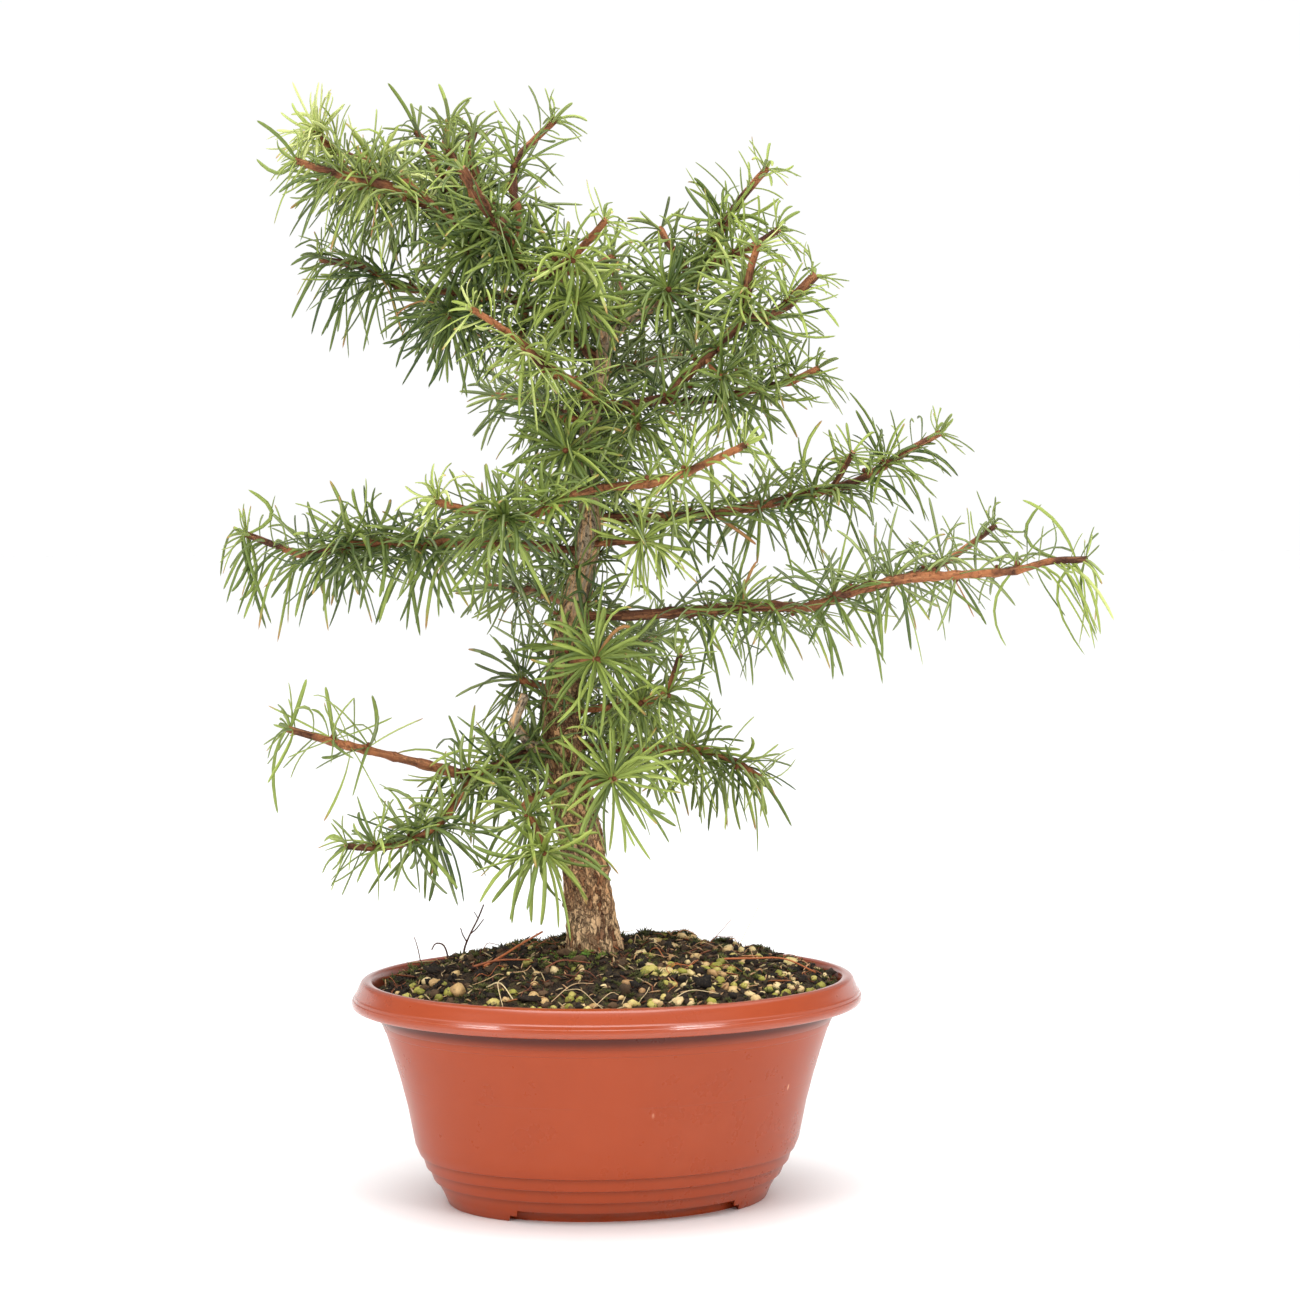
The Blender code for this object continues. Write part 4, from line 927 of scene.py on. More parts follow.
def drawNeedle(
    draw, needles, root, aim, long, facing, fresh, droop=fillRule["droop"], end=None, ahead=None,
):
    for _ in range(fillRule["tries"]):
        way = aim.normalized() + fillRule["loose"] * Vector([draw.uniform(-1, 1) for _ in range(3)])
        way.normalize()
        size = long * draw.uniform(*fillRule["sizes"])
        sag = draw.uniform(*droop) * size
        bow = acrossOf(way, draw.uniform(0, 6.28))[0] * draw.uniform(0.02, fillRule["bow"]) * size
        bend = root + way * size * 0.55 + Vector((0, 0, 0.16 * sag)) + bow * 0.4
        tip = root + way * size * 0.97 + Vector((0, 0, -sag)) - bow
        if tip[2] < fillRule["lowest"] or not withinBox(tip) or insideTrunk(tip) or insideTrunk(bend):
            continue
        if ahead and (tip - end).dot(ahead) > needleRule["pastTheCut"] + 2.0:
            continue
        width = draw.uniform(fillRule["narrowest"], fillRule["widest"])
        needles.add(root, bend, tip, facing, fresh + draw.gauss(0, 0.10), width, draw.uniform(-0.9, 0.9))
        return


def fillWhorl(draw, needles, centre, outward, forward, count, fresh, reach, long=None):
    root = centre + outward * reach
    turn = draw.uniform(0, 6.28)
    for aim in whorlAims(outward, forward, turn, count):
        size = long or draw.uniform(fillRule["shortest"], fillRule["longest"])
        drawNeedle(draw, needles, root, aim, size, outward, fresh)


def growMore(draw, name, line, first, whorls, young, bare, sparse, spur, fresh, needles, radius):
    buds = []  # each: place, way it faces
    places = []
    for mark, facing in whorls:
        for k in range(fillRule["whorlsPerStep"]):
            along = mark - needleRule["whorlStep"] * k / fillRule["whorlsPerStep"]
            if along < first + 2 or bare[0] < along < bare[1]:
                continue
            thin = sparse[0] < along < sparse[1]
            outward = facing if k == 0 else acrossOf(line.direction(along), draw.uniform(0, 6.28))[0]
            if name in openFronts and outward.y < 0.1:  # so that the twig shows from the best side
                outward = Vector((outward.x, 0.15 - 0.7 * outward.y, outward.z)).normalized()
            count = fillRule["whorlNeedles"] if k == 0 else fillRule["betweenNeedles"]
            count = fillRule["sparseNeedles"] if thin else round(count * fullness.get(name, 1.0))
            places.append((along, outward, count))
    for along, outward, count in places:
        centre, forward = line.point(along), line.direction(along)
        fillWhorl(draw, needles, centre, outward, forward, count, fresh, 0.6 * radius)
        buds.append((centre + outward * (radius + 0.9), outward))
    end, ahead = line.point(line.length), line.direction(line.length)
    turn = draw.uniform(0, 6.28)
    if not spur:
        step = fillRule["shootStep"] * (fillRule["sparseStep"] if sparse[1] else 1.0)
        aims, turn = shootAims(line, young, turn, step, fillRule["shootLean"])
        for along, nearness, way, aim in aims:
            long = draw.uniform(fillRule["shortest"], fillRule["longest"]) * (1 - 0.38 * nearness)
            fresher = fresh + 0.2 * nearness
            drawNeedle(draw, needles, line.point(along), aim, long, way, fresher, end=end, ahead=ahead)
    kind = "spur" if spur else "tip"
    for aim in endAims(ahead, turn, fillRule[kind + "Needles"], fillRule[kind + "Lean"]):
        long = draw.uniform(fillRule[kind + "Shortest"], fillRule[kind + "Longest"])
        if spur:
            drawNeedle(draw, needles, end - ahead, aim, spurLengths.get(name, long), ahead, fresh)
        else:
            root = end - 1.5 * ahead
            drawNeedle(draw, needles, root, aim, long, ahead, fresh + 0.2, end=end, ahead=ahead)
    if spur:
        buds.append((end + ahead * 0.6, ahead))
    return buds


def growOnWood(draw, needles, buds):
    line = Route([p[:3] for p in trunkRoute])
    turn, along = 0.4, 0.0
    while along < line.length - 3:
        spot = line.point(along)
        if fillRule["trunkFrom"] < spot.z < fillRule["trunkTo"]:
            turn += goldenAngle
            forward = line.direction(along)
            outward = acrossOf(forward, turn)[0]
            if outward.y < -0.7 and not fillRule["clothedFrom"] < spot.z < fillRule["clothedTo"]:
                outward.y *= -1  # so that the bark shows from the best side
            outward = (outward + 0.35 * forward).normalized()
            radius = trunkAt(spot.z, 3)
            count = fillRule["trunkNeedles"]
            fillWhorl(draw, needles, spot, outward, forward, count, fillRule["woodFresh"], radius)
            buds.append((spot + outward * (radius + 0.8), outward))
        along += fillRule["trunkStep"]
    for name, (points, radius, _) in limbs.items():
        limb = Route(points)
        along = fillRule["limbStep"]
        while along < limb.length - 2 and name != "dead_snag":
            turn += goldenAngle
            forward = limb.direction(along)
            outward = acrossOf(forward, turn)[0]
            centre = limb.point(along)
            count = fillRule["limbNeedles"]
            fillWhorl(draw, needles, centre, outward, forward, count, fillRule["woodFresh"], 0.8 * radius)
            buds.append((centre + outward * (radius + 0.6), outward))
            along += fillRule["limbStep"]


def nearestAlong(line, point):
    marks = np.linspace(0, line.length, 80)
    return float(marks[int(np.argmin([(line.point(m) - Vector(point)).length for m in marks]))])


def growTree():
    routes = {name: Route(stem[0]) for name, stem in stems.items()}
    crowd = Crowd()
    for below, above in zip(trunkRoute, trunkRoute[1:]):
        crowd.add(below[:3], above[:3], below[3] * 1.12, "wood")
    for points, radius, _ in limbs.values():
        route = Route(points)
        crowd.addLine(cutTo(route, 0.0, route.length, needleRule["limbStep"]), radius, "wood")
    coreRadius = {}
    for name, (points, startRadius, endRadius, bare, _) in stems.items():
        route = routes[name]
        crowd.addLine(cutTo(route, 0.0, bare, needleRule["coreStep"]), startRadius, "wood")
        coreRadius[name] = startRadius + (endRadius - startRadius) * bare / route.length
        crowd.addLine(cutTo(route, bare, route.length, needleRule["coreStep"]), coreRadius[name], name, 2.0)
        for sidePoints, sideRadius, _ in sideShoots.get(name, []):
            side = Route(sidePoints)
            crowd.addLine(cutTo(side, 0.0, side.length, needleRule["coreStep"]), sideRadius, name)
    needles = {name: Needles(breadths.get(name, 1.0)) for name in stems}
    for name, reaching in reachingNeedles.items():
        bare, route = stems[name][3], routes[name]
        line = cutTo(route, bare, route.length, needleRule["coreStep"])
        for along, bend, tip in reaching:
            root = line.point(min(along, line.length - 1.2))
            crowd.add(root, bend, 0.5 * needleRule["width"], name)
            crowd.add(bend, tip, 0.5 * needleRule["width"], name)
            needles[name].add(root, bend, tip, reachingFacing, *reachingLook)
    buds = {name: [] for name in stems}
    for order, (name, (_, startRadius, endRadius, bare, fresh)) in enumerate(stems.items()):
        draw, more = random.Random(needleRule["seed"] + order), random.Random(fillRule["seed"] + order)
        route, spur, gap = routes[name], name.startswith("spur"), bareStretches.get(name, (0.0, 0.0))
        lines = [(cutTo(route, bare, route.length, needleRule["coreStep"]), 3.0, gap, spur, endRadius)]
        for sidePoints, sideRadius, sideEnd in sideShoots.get(name, []):
            side = Route(sidePoints)
            core = cutTo(side, 0.0, side.length, needleRule["coreStep"])
            lines.append((core, 4.0, (0.0, 0.0), False, sideEnd))
        for line, first, missing, isSpur, radius in lines:
            whorls, young = growBase(crowd, draw, name, line, first, missing, isSpur, fresh, needles[name])
            sparse = sparseStretches.get(name, (0.0, 0.0)) if missing == gap else (0.0, 0.0)
            buds[name] += growMore(
                more, name, line, first, whorls, young, missing, sparse, isSpur, fresh, needles[name], radius,
            )
        if not spur:
            foot = 0.5 * bare + 2
            centre, forward = route.point(foot), route.direction(foot)
            outward = acrossOf(forward, more.uniform(0, 6.28))[0]
            count = fillRule["footNeedles"]
            fillWhorl(more, needles[name], centre, outward, forward, count, fresh - 0.05, startRadius)
    for name, rows in rosettes.items():
        radius = stems[name][2]
        for place, way, count, fresh, long in rows:
            more = random.Random(len(buds[name]) + count + round(place[0]))
            outward, centre = Vector(way).normalized(), Vector(place)
            fillWhorl(more, needles[name], centre, outward, Vector((0, 0, 0)), count, fresh, radius, long)
            buds[name].append((centre + outward * (radius + 1.0), outward))
    for name, start, end, count, long, fresh in hanging:
        more = random.Random(start + count)
        line = cutTo(routes[name], stems[name][3], routes[name].length, needleRule["coreStep"])
        for k in range(count):
            along = start + (end - start) * (k + more.uniform(0, 1)) / count
            forward = line.direction(along)
            scatter = Vector([more.uniform(-1, 1) for _ in range(3)])
            aim = Vector((0, 0, -0.75)) + 0.55 * forward + 0.5 * scatter
            facing = Vector((more.uniform(-0.9, 0.9), -1.0, more.uniform(-0.2, 0.6)))
            root, droop = line.point(along), fillRule["hangingDroop"]
            drawNeedle(more, needles[name], root, aim, long, facing, fresh, droop)
    woodNeedles, woodBuds = Needles(), []
    growOnWood(random.Random(fillRule["seed"]), woodNeedles, woodBuds)
    return routes, coreRadius, needles, buds, woodNeedles, woodBuds


# Needle shape: flat above with a keel below, widest past the middle

needleShape = {
    "places": [0.0, 0.07, 0.20, 0.38, 0.56, 0.74, 0.89, 0.97],
    "shares": [0.45, 0.68, 0.90, 1.0, 1.0, 0.98, 0.86, 0.55],
    "crown": 0.10, "keel": 0.32, "bendAt": 0.55, "below": [0.45, 0.0, 0.45, 1.0], "belowTip": 0.4,
}


def unit(rows):
    return rows / np.maximum(np.linalg.norm(rows, axis=-1, keepdims=True), 1e-9)


def needlePiece(name, rows, draw):
    rows = np.array(rows, dtype=np.float64)
    count = len(rows)
    root, bend, tip, facing = (rows[:, 3 * i:3 * i + 3] for i in range(4))
    fresh, width, twist = rows[:, 12], rows[:, 13], rows[:, 14]
    at = needleShape["bendAt"]
    places = np.array(needleShape["places"] + [1.0])

    def curve(t):  # through root, bend and tip
        early = root * ((t - at) * (t - 1)) / at + bend * (t * (t - 1)) / (at * (at - 1))
        return early + tip * (t * (t - at)) / (1 - at)

    centres = np.stack([curve(t) for t in places], axis=1)
    ways = unit(np.gradient(centres, axis=1))
    flat = unit(np.cross(ways, facing[:, None, :] + 0.02))
    upward = np.cross(flat, ways)
    turn = twist[:, None] * places[None, :]
    flatTurned = flat * np.cos(turn)[..., None] + upward * np.sin(turn)[..., None]
    upTurned = upward * np.cos(turn)[..., None] - flat * np.sin(turn)[..., None]
    wide = width[:, None] * np.array(needleShape["shares"] + [0.0])[None, :]
    corners = []
    for across, up in ((-0.5, 0.0), (0.0, needleShape["crown"]), (0.5, 0.0), (0.0, -needleShape["keel"])):
        corners.append(centres + flatTurned * (across * wide)[..., None] + upTurned * (up * wide)[..., None])
    stacked = np.stack(corners, axis=2)
    rings = len(places) - 1
    body = stacked[:, :rings].reshape(count, rings * 4, 3)
    points = np.concatenate([body, centres[:, -1:, :]], axis=1)
    each = rings * 4 + 1
    pattern = []
    for r in range(rings - 1):
        for i in range(4):
            j = (i + 1) % 4
            pattern.append((4 * r + i, 4 * r + j, 4 * r + 4 + j, 4 * r + 4 + i))
    for i in range(4):
        pattern.append((4 * (rings - 1) + i, 4 * (rings - 1) + (i + 1) % 4, each - 1))
    faces = [tuple(each * n + c for c in face) for n in range(count) for face in pattern]
    turned = points.reshape(-1, 3) @ np.array(treeTurn).T * mm
    alongEach = np.concatenate([np.repeat(places[:rings], 4), [1.0]])
    belowEach = np.concatenate([np.tile(needleShape["below"], rings), [needleShape["belowTip"]]])
    chance = np.array([draw.random() for _ in range(count)])
    leaf = np.stack([np.repeat(fresh, each), np.tile(alongEach, count), np.tile(belowEach, count)], axis=1)
    return fromPoints(name, turned, faces, leaf=leaf, chance=np.repeat(chance, each))


needleLook = {
    "deep": (0.046, 0.078, 0.020), "mature": (0.146, 0.200, 0.038), "fresh": (0.380, 0.465, 0.092),
    "lime": (0.660, 0.710, 0.270), "under": (0.285, 0.320, 0.175), "dry": (0.420, 0.170, 0.065),
    "rough": 0.38,
}


def needleGreen():
    s = Shader("larchNeedles")
    leaf = s.reading("leaf", "Vector")
    fresh, along, below = (s.along(leaf, axis) for axis in "XYZ")
    chance = s.reading("chance")
    where = s.place()
    patch = s.noise(where, 55.0, 2.0)
    mottle = s.noise(where, 240.0, 2.0, 0.5)
    grainy = s.noise(where, 3200.0, 2.0, 0.5)
    age = fresh + (chance - 0.5) * 0.55 + (patch - 0.5) * 0.35 + along * 0.08
    colour = s.blend(age.rising(-0.05, 0.45), needleLook["deep"], needleLook["mature"])
    colour = s.blend(age.rising(0.30, 0.95), colour, needleLook["fresh"])
    colour = s.blend(age.rising(0.85, 1.35), colour, needleLook["lime"])
    rib = 1.0 - (below.distanceTo(0.0)).rising(0.05, 0.38)
    colour = s.blend(rib * 0.22, colour, needleLook["deep"])
    colour = s.blend(below.rising(0.5, 0.9) * 0.55, colour, needleLook["under"])
    colour = s.blend(mottle.rising(0.50, 0.75) * 0.22, colour, needleLook["fresh"])
    colour = s.blend((1.0 - along.rising(0.0, 0.14)) * 0.45, colour, needleLook["fresh"])
    dryTip = along.rising(0.84, 1.0) * chance.rising(0.86, 0.94)
    colour = s.blend(dryTip * 0.8, colour, needleLook["dry"])
    withered = chance.rising(0.994, 0.996)
    colour = s.blend(withered * 0.85, colour, needleLook["dry"])
    rough = needleLook["rough"] + 0.16 * mottle
    relief = s.bumped(grainy * 0.25 - rib, 0.00010, 0.6)
    return s.finished(colour, rough, relief, Specular_IOR_Level=0.35)


# Wood: finer stems, cut ends, buds and bark

twigRule = {
    "sides": 10, "step": 2.2, "budRadius": 1.5, "swelling": 0.30, "swellingReach": 2.4, "seed": 11,
}


def tubeParts(route, start, end, startRadius, endRadius, knots, shift, sides, step):
    count = max(2, round((end - start) / step))
    side = acrossOf(route.direction(start))[0]
    points, grain, girth, cut = [], [], [], []
    for k in range(count + 1):
        along = start + (end - start) * k / count
        centre, ahead = route.point(along), route.direction(along)
        side = (side - ahead * side.dot(ahead)).normalized()
        other = ahead.cross(side)
        swell = sum(math.exp(-((along - knot) / twigRule["swellingReach"]) ** 2) for knot in knots)
        radius = startRadius + (endRadius - startRadius) * k / count
        for i in range(sides):
            turn = 2 * math.pi * i / sides
            lump = noise.noise(Vector((math.cos(turn) * 0.9, math.sin(turn) * 0.9, along * 0.35 + shift)))
            reach = radius * (1 + 0.10 * lump + twigRule["swelling"] * min(swell, 1.0))
            points.append(centre + reach * (side * math.cos(turn) + other * math.sin(turn)))
            grain.append((radius * math.cos(turn) + shift, radius * math.sin(turn), along))
            girth.append(radius)
            cut.append(0.0)
    faces = []
    for k in range(count):
        for i in range(sides):
            j = (i + 1) % sides
            a, b = k * sides, (k + 1) * sides
            faces.append((a + i, a + j, b + j, b + i))
    rim = len(points)
    end = route.point(end)
    points += [p.lerp(end, 0.12) for p in points[-sides:]]  # the pruned end, a cut face inside its rim
    points.append(end - 0.35 * ahead)
    grain += [(0.0, 0.0, shift)] * (sides + 1)
    girth += [endRadius] * (sides + 1)
    cut += [1.0] * (sides + 1)
    for i in range(sides):
        j = (i + 1) % sides
        faces.append((rim - sides + i, rim - sides + j, rim + j, rim + i))
        faces.append((rim + i, rim + j, len(points) - 1))
    return points, faces, grain, girth, cut


def budTemplate():
    letGo()
    bpy.ops.mesh.primitive_uv_sphere_add(segments=8, ring_count=6, radius=1.0)
    ball = bpy.context.object
    points = np.array([v.co[:] for v in ball.data.vertices])
    faces = [tuple(p.vertices) for p in ball.data.polygons]
    bpy.data.objects.remove(ball)
    return points, faces


def twigPiece(name, tubes, buds, ball, draw):
    points, faces, grain, girth, cut = [], [], [], [], []
    for tube in tubes:
        faces += shifted(tube[1], len(points))
        points += [tuple(p) for p in tube[0]]
        grain += tube[2]
        girth += tube[3]
        cut += tube[4]
    for place, way in buds:
        faces += shifted(ball[1], len(points))
        side, other = acrossOf(way)
        size = twigRule["budRadius"] * draw.uniform(0.75, 1.15)
        for x, y, z in ball[0]:
            spot = place + size * (side * x + other * y + way * (z * 1.15))
            points.append(tuple(spot))
            grain.append((x * 2 + place.x, y * 2, z * 2))
            girth.append(1.0)
            cut.append(0.5)
    turned = np.array(points) @ np.array(treeTurn).T * mm
    return fromPoints(name, turned, faces, grain=np.array(grain) * mm, girth=girth, cut=cut)


barkLook = {
    "crack": (0.036, 0.016, 0.009), "brown": (0.270, 0.110, 0.045), "tan": (0.740, 0.440, 0.220),
    "pale": (0.92, 0.62, 0.34), "grey": (0.400, 0.310, 0.215), "orange": (0.620, 0.290, 0.125),
    "twig": (0.400, 0.145, 0.054), "twigDark": (0.080, 0.026, 0.013), "bud": (0.190, 0.060, 0.024),
    "cutFace": (0.420, 0.215, 0.110),
}


def barkFinish():
    s = Shader("larchBark")
    grain = s.reading("grain", "Vector")
    girth, cut = s.reading("girth"), s.reading("cut")
    where = s.place()
    sockets = {"Vector": s.stretched(grain, (430.0, 430.0, 220.0)), "Scale": 1.0}
    drift = s.add("ShaderNodeTexNoise", None, sockets, 1)
    warped = s.add("ShaderNodeVectorMath", {"operation": "ADD"}, {
        0: s.stretched(grain, (350.0, 350.0, 135.0)), 1: s.stretched(drift, (2.2, 2.2, 2.2))})
    plates = s.cells(warped, 1.0, "Distance", "DISTANCE_TO_EDGE")
    plateShade = s.along(s.cells(warped, 1.0, "Color"), "X")
    plateTint = s.noise(s.stretched(grain, (230.0, 230.0, 170.0)), 1.0, 4.0, 0.65, 0.4)
    cracks = s.noise(s.stretched(grain, (330.0, 330.0, 230.0)), 1.0, 6.0, 0.70, 1.2)
    flakes = s.noise(s.stretched(grain, (620.0, 620.0, 800.0)), 1.0, 4.0, 0.65, 0.6)
    strips = s.noise(s.stretched(grain, (650.0, 650.0, 45.0)), 1.0, 3.0, 0.6)
    patch = s.noise(where, 42.0, 3.0, 0.6)
    old = girth.rising(6.5, 9.5)  # flaky brown bark low on the trunk
    young = 1.0 - girth.rising(3.0, 3.9)  # red-brown twigs
    shade = plateTint * 0.5 + plateShade * 0.5
    colour = s.blend(shade.rising(0.24, 0.58), barkLook["brown"], barkLook["tan"])
    colour = s.blend(patch.rising(0.50, 0.66) * 0.35, colour, barkLook["grey"])
    rusty = plateShade.rising(0.55, 0.75) * plateTint.rising(0.45, 0.60) * 0.7
    colour = s.blend(rusty, colour, barkLook["orange"])
    seams = (1.0 - plates.rising(0.02, 0.16)) * old
    foot = 1.0 - s.along(where, "Z").rising(0.128, 0.165)
    colour = s.blend(foot * shade.rising(0.28, 0.56) * 0.75, colour, barkLook["pale"])
    middle = s.blend(strips.rising(0.46, 0.60), barkLook["grey"], barkLook["tan"])
    middle = s.blend(patch.rising(0.50, 0.72) * 0.35, middle, barkLook["brown"])
    colour = s.blend(old, middle, colour)
    twig = s.blend(patch.rising(0.40, 0.62), barkLook["twig"], barkLook["twigDark"])
    twig = s.blend(strips.rising(0.52, 0.68) * 0.5, twig, barkLook["orange"])
    stouter = s.blend(strips.rising(0.40, 0.66), barkLook["twigDark"], barkLook["brown"])
    twig = s.blend(girth.rising(1.85, 2.5) * 0.8, twig, stouter)
    colour = s.blend(young, colour, twig)
    crackDepth = ((1.0 - cracks.rising(0.36, 0.47)) * (1.0 - young * 0.6) * 0.8 + seams * 0.7).clamped()
    colour = s.blend(crackDepth * 0.85, colour, barkLook["crack"])
    colour = s.blend((flakes.rising(0.60, 0.78)) * 0.35, colour, barkLook["tan"])
    colour = s.blend(cut.rising(0.30, 0.45) * (1.0 - cut.rising(0.55, 0.70)), colour, barkLook["bud"])
    colour = s.blend(cut.rising(0.75, 0.95) * 0.8, colour, barkLook["cutFace"])
    rough = 0.86 - 0.25 * young + 0.1 * flakes
    relief = plates.clamped() * 0.5 - crackDepth * 1.3 + flakes * 0.7 + strips * 0.35
    return s.finished(colour, rough, s.bumped(relief, 0.0012, 1.0), Specular_IOR_Level=0.3)


trunkDetail = {
    "weld": 0.02, "voxel": 0.85, "smoothing": 0.6, "smoothings": 3, "ridge": 0.050, "flake": 0.040,
    # place, height and reach of each knob
    "knobs": [((-21, -4, 149), 2.6, 3.4), ((-1, -5, 167), 2.2, 3.0), ((-31, -1, 229), 1.6, 3.0)],
    "rootLobes": 5, "rootSpread": 1.5, "rootReach": 8.0,
    "paleLimbs": ("right", "left", "dead_snag"), "paleGirth": 4.8,  # limbs with the grey bark of older wood
    "limbShift": 13.0,  # moves the bark's pattern from limb to limb
}


def centreLines(routes):
    rows = []  # place, ahead, side, other, along, shift, radius
    trunkLine = Route([p[:3] for p in trunkRoute])
    sources = [(trunkLine, trunkLine.length, None, None)]
    sources += [(Route(points), Route(points).length, a, b) for points, a, b in limbs.values()]
    sources += [(routes[name], stems[name][3] + 1, stems[name][1], stems[name][1]) for name in stems]
    for number, (line, length, startRadius, endRadius) in enumerate(sources):
        side = acrossOf(line.direction(0))[0]
        for along in np.arange(-38.0 if number == 0 else 0.0, length, 1.5):
            spot, ahead = line.point(along), line.direction(along)
            if along < 0:
                spot = spot + Vector((0, 0, along))
            side = (side - ahead * side.dot(ahead)).normalized()
            if number == 0:
                radius = trunkAt(spot.z, 3)
            else:
                radius = startRadius + (endRadius - startRadius) * along / length
            shift = trunkDetail["limbShift"] * number
            rows.append((*spot, *ahead, *side, *ahead.cross(side), along, shift, radius))
    return np.array(rows)


def makeTrunk(routes, finish):
    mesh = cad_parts["trunk"].data.copy()
    trunk = bpy.data.objects.new("trunk_wood", mesh)
    bpy.context.scene.collection.objects.link(trunk)
    pick(trunk)
    bpy.ops.object.mode_set(mode="EDIT")
    bpy.ops.mesh.select_all(action="SELECT")
    bpy.ops.mesh.remove_doubles(threshold=trunkDetail["weld"] * mm)
    bpy.ops.object.mode_set(mode="OBJECT")
    modify(trunk, "REMESH", mode="VOXEL", voxel_size=trunkDetail["voxel"] * mm)
    modify(trunk, "SMOOTH", factor=trunkDetail["smoothing"], iterations=trunkDetail["smoothings"])
    mesh = trunk.data
    count = len(mesh.vertices)
    co, normals = np.empty(count * 3), np.empty(count * 3)
    mesh.vertices.foreach_get("co", co)
    mesh.vertices.foreach_get("normal", normals)
    spots = co.reshape(-1, 3) / mm @ np.array(treeTurn)  # back into the tree's own frame
    normals = normals.reshape(-1, 3)
    lines = centreLines(routes)
    nearest = np.empty(count, dtype=int)
    for start in range(0, count, 4000):
        block = spots[start:start + 4000]
        apart = np.sqrt(((block[:, None, :] - lines[None, :, :3]) ** 2).sum(2)) - lines[None, :, 14]
        nearest[start:start + 4000] = apart.argmin(1)
    chosen = lines[nearest]
    offset = spots - chosen[:, :3]
    grain = np.stack([
        (offset * chosen[:, 6:9]).sum(1) + chosen[:, 13], (offset * chosen[:, 9:12]).sum(1),
        chosen[:, 12] + (offset * chosen[:, 3:6]).sum(1),
    ], axis=1)
    girth = chosen[:, 14]
    pale = [trunkDetail["limbShift"] * (1 + list(limbs).index(name)) for name in trunkDetail["paleLimbs"]]
    tone = np.where(np.isin(chosen[:, 13], pale), np.maximum(girth, trunkDetail["paleGirth"]), girth)
    push = np.zeros(count)
    for i, (x, y, z) in enumerate(grain):
        ridges = abs(noise.noise(Vector((x * 0.24, y * 0.24, z * 0.13))))
        small = noise.noise(Vector((x * 0.60, y * 0.60, z * 0.50)))
        push[i] = (trunkDetail["ridge"] * (0.25 - ridges) * 2.2 + trunkDetail["flake"] * small) * girth[i]
    for (x, y, z), height, reach in trunkDetail["knobs"]:
        away = ((spots - np.array((x, y, z))) ** 2).sum(1)
        push += height * np.exp(-away / reach ** 2)
    around = np.arctan2(spots[:, 1], spots[:, 0] + 7)
    low = np.exp(-np.maximum(spots[:, 2] - 121, 0) / trunkDetail["rootReach"])
    push += trunkDetail["rootSpread"] * low * (0.35 + np.cos(trunkDetail["rootLobes"] * around + 0.8))
    co = (co.reshape(-1, 3) + normals * push[:, None] * mm).ravel()
    mesh.vertices.foreach_set("co", co)
    store(mesh, grain=grain * mm, girth=tone, cut=np.zeros(count))
    mesh.shade_smooth()
    mesh.update()
    print("trunk", count, "points")
    return hand(trunk, "trunk_wood", finish, "bark", "trunk")


def makeTree():
    routes, coreRadius, needles, buds, woodNeedles, woodBuds = growTree()
    bark, green, ball = barkFinish(), needleGreen(), budTemplate()
    draw, fineness = random.Random(twigRule["seed"]), (twigRule["sides"], twigRule["step"])
    makeTrunk(routes, bark)
    total = 0
    for order, (name, (_, _, endRadius, bare, _)) in enumerate(stems.items()):
        route = routes[name]
        knots = [nearestAlong(route, place) for place, _ in buds[name]]
        tubes = [tubeParts(
            route, bare - 1.5, route.length, coreRadius[name], endRadius, knots, 7.0 * order, *fineness,
        )]
        for sidePoints, sideStart, sideEnd in sideShoots.get(name, []):
            side = Route(sidePoints)
            tubes.append(tubeParts(
                side, 0.0, side.length, sideStart, sideEnd, [], 7.0 * order + 3, *fineness,
            ))
        twig = twigPiece("twig_" + name, tubes, buds[name], ball, draw)
        hand(twig, "twig_" + name, bark, "bark", "spray_" + name)
        foliage = needlePiece("needles_" + name, needles[name].rows, draw)
        hand(foliage, "needles_" + name, green, "needles", "spray_" + name)
        total += len(needles[name].rows)
    hand(twigPiece("trunk_buds", [], woodBuds, ball, draw), "trunk_buds", bark, "bark")
    hand(needlePiece("needles_trunk", woodNeedles.rows, draw), "needles_trunk", green, "needles")
    print("needles", total + len(woodNeedles.rows))


# Soil, with what lies on it

soilShape = {
    "halfLength": 129.0, "halfWidth": 107.0, "edgeInset": 11.9, "edgeHeight": 107.5, "crownHeight": 124.0,
    "relief": 2.0, "leftDip": 1.6, "bottom": 98.0, "taper": 2.5, "sides": 240, "rings": 84,
    "trunkClear": 15.5, "coarse": 0.11, "fine": 0.31,
    "crumbs": ((1.5, 4.2, 1.0), (0.9, 1.9, 5.0), (0.5, 0.9, 8.0)),  # height, size and seed, coarse to fine
}


# Mossy humps: across, away, rise and reach
soilHumps = [
    (20, 52, 4.5, 11), (38, 50, 5.0, 9), (60, 46, 3.5, 8), (78, 38, 3.0, 7), (-20, 55, 3.5, 12),
    (-44, 50, 2.5, 9), (-12, -22, 2.0, 11), (97, 18, 2.5, 7), (-2, 44, 3.0, 10),
]


def grainAt(x, y, size, seed):
    return noise.noise(Vector((x / size, y / size, seed)))


